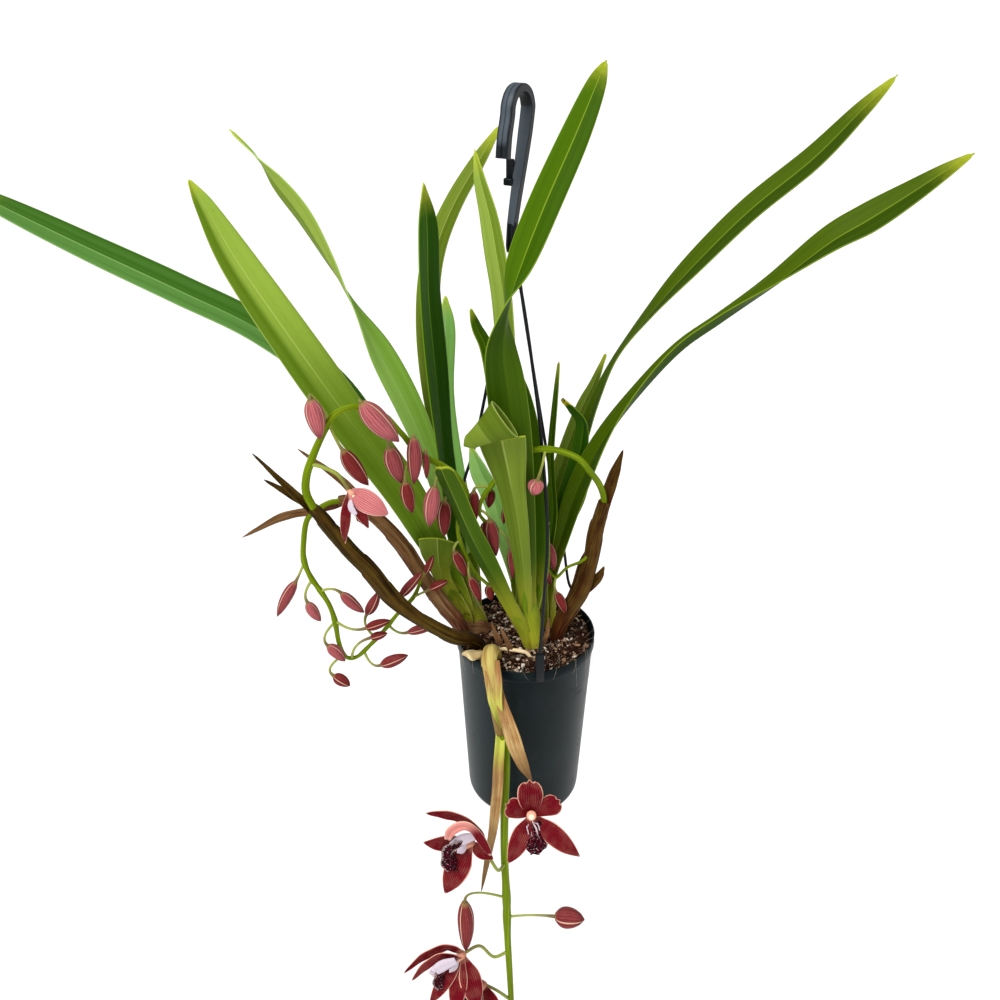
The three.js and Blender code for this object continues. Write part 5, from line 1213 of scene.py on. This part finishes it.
random.seed(3)
for name, bloom in BLOOMS.items():
    heart = Vector(bloom["centre"])
    face = Vector(bloom["face"]).normalized()
    bm = new_bmesh()
    for form, (tip, width, *look) in zip(bloom["forms"], bloom["tepals"]):
        look = Vector(look[0]).normalized() if look else face
        blunt = 0.1 if form in ("broad", "blunt") else 0
        before = set(bm.faces)
        strip(bm, lambda along: tepal_frame(heart, look, Vector(tip), width, form, along), *TEPAL_GRID,
              curl=0.22, ripple=0.0006 if blunt else 0.0004, waves=random.uniform(7, 12),
              reach=lambda side: 1 - blunt * side ** 4 + blunt * 0.35 * math.cos(7 * side))
        for petal in set(bm.faces) - before:
            petal.material_index = 2 if form == "blush" else 0
    for arch in bloom.get("arches", []):
        rows = [[*row, 0, ARCH_FOLD] for row in arch]
        strip(bm, lambda along: blade_frame(rows, along), *ARCH_GRID, curl=0.2, ripple=0.0003)
    if "hood" in bloom:
        before = set(bm.faces)
        rows = [[*row, 0, HOOD_FOLD] for row in bloom["hood"]]
        strip(bm, lambda along: blade_frame(rows, along), *HOOD_GRID, curl=0.5)
        for petal in set(bm.faces) - before:
            petal.material_index = 1
    skins = list(petal_skins.values())
    piece = make_piece("bloom_tepals_" + name, bm, skins, thickness=PETAL_THICKNESS)
    settle(piece, "petal_burgundy", "bloom_" + name)
    bm = new_bmesh()
    size = SMALL_COLUMN if name == "upper" else FULL_COLUMN
    end = heart + face * COLUMN_REACH * min(size, 1) + COLUMN_RISE
    rows = [[*heart.lerp(end, share), radius * size] for share, radius in COLUMN_GIRTHS]
    tube(bm, rows, *COLUMN_GRID, 0.0)
    cap = [[*(heart.lerp(end, share) + CAP_DROP), radius * size] for share, radius in CAP_GIRTHS]
    tube(bm, cap, *CAP_GRID, 1.0)
    piece = make_piece("bloom_column_" + name, bm, [column_finish])
    settle(piece, "petal_burgundy", "bloom_" + name)
    bm = new_bmesh()
    lip = [[*row[:3], row[3] * LIP_SPREAD, *row[4:]] for row in bloom["lip"]]
    strip(bm, lambda along: blade_frame(lip, along, False), *LIP_GRID, curl=0.25, ripple=0.0009,
          waves=22, reach=lambda side: 1 - 0.16 * side ** 4 - 0.05 * math.cos(9 * side))
    lobes = set(bm.faces)
    out = Vector(lip[1][:3]) - Vector(lip[0][:3])
    across = out.cross(face + Vector((0, 0, 1))).normalized()
    upward = across.cross(out).normalized()
    foot = Vector(lip[0][:3])
    for hand in (-1, 1):
        rows = [[*(foot + out * forth + across * hand * aside + upward * lift), width]
                for forth, aside, lift, width in LOBE_PATH]

        def lobe_frame(along):
            """The frame of a side lobe, which stands up beside the lip and looks inwards. LOBE_PATH
            lists how far it goes along the lip, aside and up, and its width."""
            x, y, z, width = along_rows(rows, along * 2)
            upright = heading(rows, along * 2).cross(across * hand).normalized()
            return at(x, y, z), upright, across * -hand, width / 2000, 0.2

        strip(bm, lobe_frame, *LOBE_GRID, curl=0.2)
    if "throat" in bloom:
        strip(bm, lambda along: blade_frame(bloom["throat"], along, False), *THROAT_GRID, curl=0.4)
    for side_lobe in set(bm.faces) - lobes:
        side_lobe.material_index = 1
    skins = [lip_finish, throat_finish]
    piece = make_piece("bloom_lip_" + name, bm, skins, thickness=PETAL_THICKNESS)
    settle(piece, "lip_maroon", "lip_" + name)

# Dry pieces on the bark
# A curled dead sheath, the papery stump of an old bulb that was cut off, and a pale aerial root round the
# front of the middle growth, all half sunk in the bark. Three small dry wraps cling to that growth where
# they dried.
DRIED_SHEATH = [[-28, 2, -2, 6, 60, 25], [-40, -2, 4, 9, 70, 25], [-52, -5, 6, 7, 75, 20],
                [-63, -7, 7, 2, 75, 10]]
CUT_BULB = [[-37, -37, -14, 3.5, 3.5], [-38, -37, -5, 4, 4], [-38, -37, 1, 4, 4], [-45, -43, 6, 7, 6],
            [-49, -47, 10, 4, 3]]
AERIAL_ROOT = [[-27, -22, -10, 1.4], [-20, -28, 0, 1.4], [-10, -32, 2, 1.4], [0, -33, 0, 1.4],
               [6, -35, -8, 1.3], [9, -37, -14, 1.2]]
DRY_WRAPS = [
    [[-20, -26, 1, 4], [-25, -27, 14, 5], [-29, -27, 28, 1]],
    [[15, -20, -3, 3], [18, -20, 12, 4], [19, -19, 26, 1]],
    [[-12, -31, -2, 4], [-16, -33, 12, 5], [-22, -32, 26, 1]],
]
WRAP_TURN = -10
WRAP_FOLD = 25
PAPER_BROWN = [(96, 64, 42), (144, 106, 72), (182, 150, 110), (84, 52, 36)]
PAPER_CREAM = [(206, 178, 122), (238, 220, 172), (96, 70, 44), (220, 196, 150)]
ROOT_CREAM = (232, 208, 164)
ROOT_BROWN = (176, 130, 86)
SHEATH_OPEN = 1.5
SHEATH_ROLL = -30
SHEATH_GRID = (10, 24)
WRAP_GRID = (8, 16)
STUMP_SEED = 1795755060
STUMP_CRUMPLE = 0.0016
STUMP_GRID = (52, 20)
ROOT_GRID = (12, 40)

paper_finish = sheath_finish("dead_sheath", *PAPER_BROWN)
cream_finish = sheath_finish("bulb_paper", *PAPER_CREAM)
root_finish = Finish("pale_root", {"IOR": 1.4})
place = root_finish.place("Object")
patches = root_finish.noise(place, 260, 3)
scuffs = root_finish.rise(patches, 0.55, 0.7) * 0.7
skin = root_finish.mix(scuffs, paint(*ROOT_CREAM), paint(*ROOT_BROWN))
root_finish.show(skin, 0.7 + patches * 0.1, patches, 0.0008)
bm = new_bmesh()
opened = [[*row[:3], row[3] * SHEATH_OPEN, row[4] + SHEATH_ROLL, row[5]] for row in DRIED_SHEATH]
strip(bm, lambda along: blade_frame(opened, along), *SHEATH_GRID, curl=0.3, ripple=0.001)
piece = make_piece("dead_sheath", bm, [paper_finish], thickness=SHEATH_THICKNESS)
settle(piece, "sheath_tan", "dried_sheath")
bm = new_bmesh()
for wrap in DRY_WRAPS:
    rows = [[*row, WRAP_TURN, WRAP_FOLD] for row in wrap]
    strip(bm, lambda along: blade_frame(rows, along), *WRAP_GRID, curl=0.3, ripple=0.001,
          waves=random.uniform(8, 16))
piece = make_piece("dry_wraps", bm, [paper_finish], thickness=SHEATH_THICKNESS)
settle(piece, "sheath_tan", "growth_middle")
bm = new_bmesh()
sleeve(bm, lambda angle, along: growth_point(CUT_BULB, angle, along, 0), *STUMP_GRID)
# This noise follows the clock unless it is seeded
noise.seed_set(STUMP_SEED)
for vert in bm.verts:
    vert.co += noise.noise_vector(vert.co * 160) * STUMP_CRUMPLE
settle(make_piece("bulb_stump", bm, [cream_finish]), "sheath_tan", "old_cut_bulb")
bm = new_bmesh()
tube(bm, AERIAL_ROOT, *ROOT_GRID, 0.5, lambda angle, along: 1.2 + 0.08 * math.sin(31 * along + angle))
settle(make_piece("pale_root", bm, [root_finish]), "sheath_tan", "aerial_root")

# Hanger hook
# One moulding of black satin plastic: a hook with a flared tip and a groove down its outer face, a
# tapering shank with a side spur and a tab, and an eye that gathers the three strands.
HOOK_TURN = math.radians(62)
HOOK_CENTRE = -12
HOOK_RADIUS = 14.75
HOOK_WIDTH = 9
HOOK_SECTION = [[1, -0.82], [1, -0.14], [0.76, -0.07], [0.76, 0.07], [1, 0.14], [1, 0.82],
                [0.82, 1], [-0.82, 1], [-1, 0.82], [-1, -0.82], [-0.82, -1], [0.82, -1]]
HOOK_TIP = [[-21.1, -39, 3.1], [-20.2, -32, 3.05], [-18.6, -24, 2.9], [-16.2, -17, 2.8]]
HOOK_BEND = 12
HOOK_THICKNESS = 2.75
HOOK_SHANK = [[11.2, -26, 2.8], [7, -40, 2.9], [1.8, -56, 3.0], [-2.8, -70, 3.2], [-7.5, -86, 3.4]]
HOOK_STEPS = 96
SHANK_START = -26
SHANK_LENGTH = 60
SHANK_TAPER = 0.36
SPUR = [(4, 7, 5), (-1.5, 6, -58), 1.0]
TAB = [(2, 6, 14), (1, 6.2, -50), 0.7]
EYE = [[-7.5, -84, 3.6], [-7.4, -88, 4.0], [-7.2, -94, 4.4], [-7.1, -100, 4.7], [-7, -104, 4.2]]
HOOK_DARK = (12, 15, 18)
HOOK_LIGHT = (22, 27, 31)
# The lighter slate of the painted reflection on the band's faces
HOOK_SHEEN = (76, 84, 92)


def hook_point(out, across, height):
    """A point given along the hook's band, across it and by height, in millimetres from the saddle."""
    point = Matrix.Rotation(HOOK_TURN, 3, "Z") @ Vector((out, across, height))
    return point / 1000


hook_finish = Finish("hanger_plastic", {"IOR": 1.5, "Specular IOR Level": 0.22})
place = hook_finish.place("Object")
clouds = hook_finish.noise(place, 40, 3)
grain = hook_finish.noise(place, 1600, 2)
around, along, _ = hook_finish.parts(hook_finish.place("UV"))
# Painted reflection: the band's outer face and the shank's inner face below the loop are painted a lighter
# slate, as the pale room reflected in them, mottled by the grain
outer = 1 - hook_finish.rise(abs(around - 0.21), 0.17, 0.22)
inner = (1 - hook_finish.rise(abs(around - 0.71), 0.06, 0.11)) * hook_finish.rise(along, 0.7, 0.78)
painted_sheen = (outer + inner) * hook_finish.rise(along, 0.05, 0.09)
plastic = hook_finish.mix(clouds, paint(*HOOK_DARK), paint(*HOOK_LIGHT))
painted_sheen = hook_finish.attribute("tint") * (painted_sheen * 0.85 + grain * 0.1)
plastic = hook_finish.mix(painted_sheen, plastic, paint(*HOOK_SHEEN))
hook_finish.show(plastic, 0.34 + clouds * 0.16, grain, 0.0002, 0.3)
hook_line = list(HOOK_TIP)
for step in range(HOOK_BEND + 1):
    turn = math.pi * (1 - step / HOOK_BEND)
    height = HOOK_CENTRE + HOOK_RADIUS * math.sin(turn)
    hook_line.append([HOOK_RADIUS * math.cos(turn), height, HOOK_THICKNESS])
hook_line += HOOK_SHANK


def hook_skin(angle, along):
    """A point of the hook's skin, its section carried along the hook and narrowed down the shank."""
    place = along * (len(hook_line) - 1)
    out, height, half = along_rows(hook_line, place)
    before = along_rows(hook_line, max(place - 0.01, 0))
    after = along_rows(hook_line, min(place + 0.01, len(hook_line) - 1))
    run = Vector((after[0] - before[0], after[1] - before[1])).normalized()
    thick, wide = HOOK_SECTION[round(angle / math.tau * len(HOOK_SECTION)) % len(HOOK_SECTION)]
    taper = 1
    if along > 0.5:
        taper -= SHANK_TAPER * max(0, SHANK_START - height) / SHANK_LENGTH
    lift = half * thick
    return hook_point(out - run.y * lift, wide * taper * HOOK_WIDTH / 2, height + run.x * lift)


bm = new_bmesh()
sleeve(bm, hook_skin, len(HOOK_SECTION), HOOK_STEPS, 1.0)
bmesh.ops.recalc_face_normals(bm, faces=bm.faces)
settle(make_piece("hook_band", bm, [hook_finish], sharp=32), "hanger_plastic", "hanger_hook")


def bevelled_block(bm, size, centre, edge):
    """Adds a block with rounded edges on the hook, sized and placed in millimetres."""
    verts = bmesh.ops.create_cube(bm, size=1)["verts"]
    for vert in verts:
        corner = [unit * length + middle for unit, length, middle in zip(vert.co, size, centre)]
        vert.co = hook_point(*corner)
    edges = list({found for vert in verts for found in vert.link_edges})
    bmesh.ops.bevel(bm, geom=edges, offset=edge / 1000, segments=3, profile=0.5, affect="EDGES",
                    material=-1)


bm = bmesh.new()
bevelled_block(bm, *SPUR)
bevelled_block(bm, *TAB)
settle(make_piece("hook_spur_and_tab", bm, [hook_finish], sharp=40), "hanger_plastic", "hanger_hook")
bm = new_bmesh()
eye_rows = []
for out, height, radius in EYE:
    point = hook_point(out, 0, height) * 1000 - RIM_CENTRE * 1000
    eye_rows.append([*point, radius])
tube(bm, eye_rows, 20, 24)
settle(make_piece("hook_eye", bm, [hook_finish], sharp=50), "hanger_plastic", "hanger_hook")

# Strands and rim clips
# Three slim arms of the same moulding run from the eye to the rim. Each ends in a flat clip that grips
# the rim band inside and out.
STRANDS = {
    "front": [[-12.5, -9, 331.5], [-6, -13, 300], [1, -17, 256], [9, -24, 196], [15, -37, 122],
              [13, -50, 70]],
    "right": [[-10.5, -4, 331.5], [-3, 8, 276], [14, 22, 172], [21.5, 28.8, 128], [27.5, 32.2, 95],
              [34, 36, 58], [39, 39.5, 24]],
    "left": [[-14.5, -4.5, 331.5], [-22, 2, 281], [-41, 8, 178], [-51, 11, 140], [-57, 14, 100],
             [-61, 15, 66], [-65, 18, 39], [-66, 20.5, 18]],
}
CLIP_AZIMUTHS = {"front": -80, "right": 42, "left": 160}
CLIP_TOPS = {"front": 19, "right": 13, "left": 10}
CLIP_OUTLINE = [[56, -4.5], [57.6, -4.5], [57.6, 0.3], [60.3, 0.3], [60.3, -7], [60.9, -8],
                [62.4, -8], [62.6, 2]]
CLIP_WIDTH = 0.007
CLIP_EDGE = 0.0005
STRAND_FOOT = 59.8
STRAND_RADIUS = 1.5
STRAND_SLIM = 0.85

for side, route in STRANDS.items():
    azimuth = math.radians(CLIP_AZIMUTHS[side])
    rows = [[*point, STRAND_RADIUS * STRAND_SLIM] for point in route]
    top = CLIP_TOPS[side]
    foot_x, foot_y = STRAND_FOOT * math.cos(azimuth), STRAND_FOOT * math.sin(azimuth)
    rows.append([foot_x, foot_y, top - 1, STRAND_RADIUS])
    node = "hanger_strand_" + side
    bm = new_bmesh()
    tube(bm, rows, 14, 16 * len(route))
    settle(make_piece("hanger_arm_" + side, bm, [hook_finish]), "hanger_plastic", node)
    bm = bmesh.new()
    corners = CLIP_OUTLINE + [[61.4, top], [58.2, top], [56, 4]]
    outline = [bm.verts.new((radius / 1000, -CLIP_WIDTH / 2, up / 1000)) for radius, up in corners]
    face = bm.faces.new(outline)
    pushed = bmesh.ops.extrude_face_region(bm, geom=[face])["geom"]
    pushed = [found for found in pushed if isinstance(found, bmesh.types.BMVert)]
    bmesh.ops.translate(bm, verts=pushed, vec=(0, CLIP_WIDTH, 0))
    bmesh.ops.recalc_face_normals(bm, faces=bm.faces)
    bmesh.ops.bevel(bm, geom=bm.edges, offset=CLIP_EDGE, segments=2, profile=0.5, affect="EDGES",
                    material=-1)
    place = Matrix.Translation(RIM_CENTRE) @ Matrix.Rotation(azimuth, 4, "Z")
    bmesh.ops.transform(bm, matrix=place, verts=bm.verts)
    settle(make_piece("rim_clip_" + side, bm, [hook_finish], sharp=35), "hanger_plastic", node)

# Studio
# A plain pale floor under the hanging pot, soft light from two wide suns and the pale surroundings, and
# the camera where the photograph was taken from. A sun is listed by its place, its spread and its power.
FLOOR_HEIGHT = -1.25
FLOOR_SIZE = 60
FLOOR_PALE = (250, 250, 250)
FLOOR_GREY = (230, 230, 230)
ROOM_LIGHT = 0.4
SUNS = {"key": [(-0.5, -0.6, 1.0), 35, 2.9], "fill": [(0.9, -0.2, 0.7), 60, 0.6]}
CAMERA_PLACE = (-0.012, -0.706, 0.084)
CAMERA_TILT = 61
CAMERA_LENS = 36
CAMERA_SENSOR = 36
CAMERA_REACH = 200

floor_finish = Finish("floor_paper", {"IOR": 1.3})
mottle = floor_finish.noise(floor_finish.place("Object"), 3, 2)
skin = floor_finish.mix(mottle * 0.02, paint(*FLOOR_PALE), paint(*FLOOR_GREY))
floor_finish.show(skin, 0.9 + mottle * 0.05, mottle, 0.0001, 0.1)
bm = bmesh.new()
bmesh.ops.create_grid(bm, x_segments=2, y_segments=2, size=FLOOR_SIZE,
                      matrix=Matrix.Translation((0, 0, FLOOR_HEIGHT)))
make_piece("floor", bm, [floor_finish])

world = bpy.data.worlds.new("pale_room")
world.use_nodes = True
background = world.node_tree.nodes["Background"]
background.inputs["Color"].default_value = (1, 1, 1, 1)
background.inputs["Strength"].default_value = ROOM_LIGHT
bpy.context.scene.world = world

for name, (source, spread, power) in SUNS.items():
    sun = bpy.data.lights.new(name, "SUN")
    sun.angle = math.radians(spread)
    sun.energy = power
    light = bpy.data.objects.new(name, sun)
    light.location = source
    light.rotation_euler = (-Vector(source)).to_track_quat("-Z", "Y").to_euler()
    bpy.context.scene.collection.objects.link(light)

camera = bpy.data.objects.new("camera", bpy.data.cameras.new("camera"))
camera.data.sensor_width = CAMERA_SENSOR
camera.data.lens = CAMERA_LENS
camera.data.clip_end = CAMERA_REACH
camera.location = CAMERA_PLACE
camera.rotation_euler = (math.radians(CAMERA_TILT), 0, 0)
bpy.context.scene.collection.objects.link(camera)
bpy.context.scene.camera = camera
bpy.context.scene.view_settings.view_transform = "Standard"
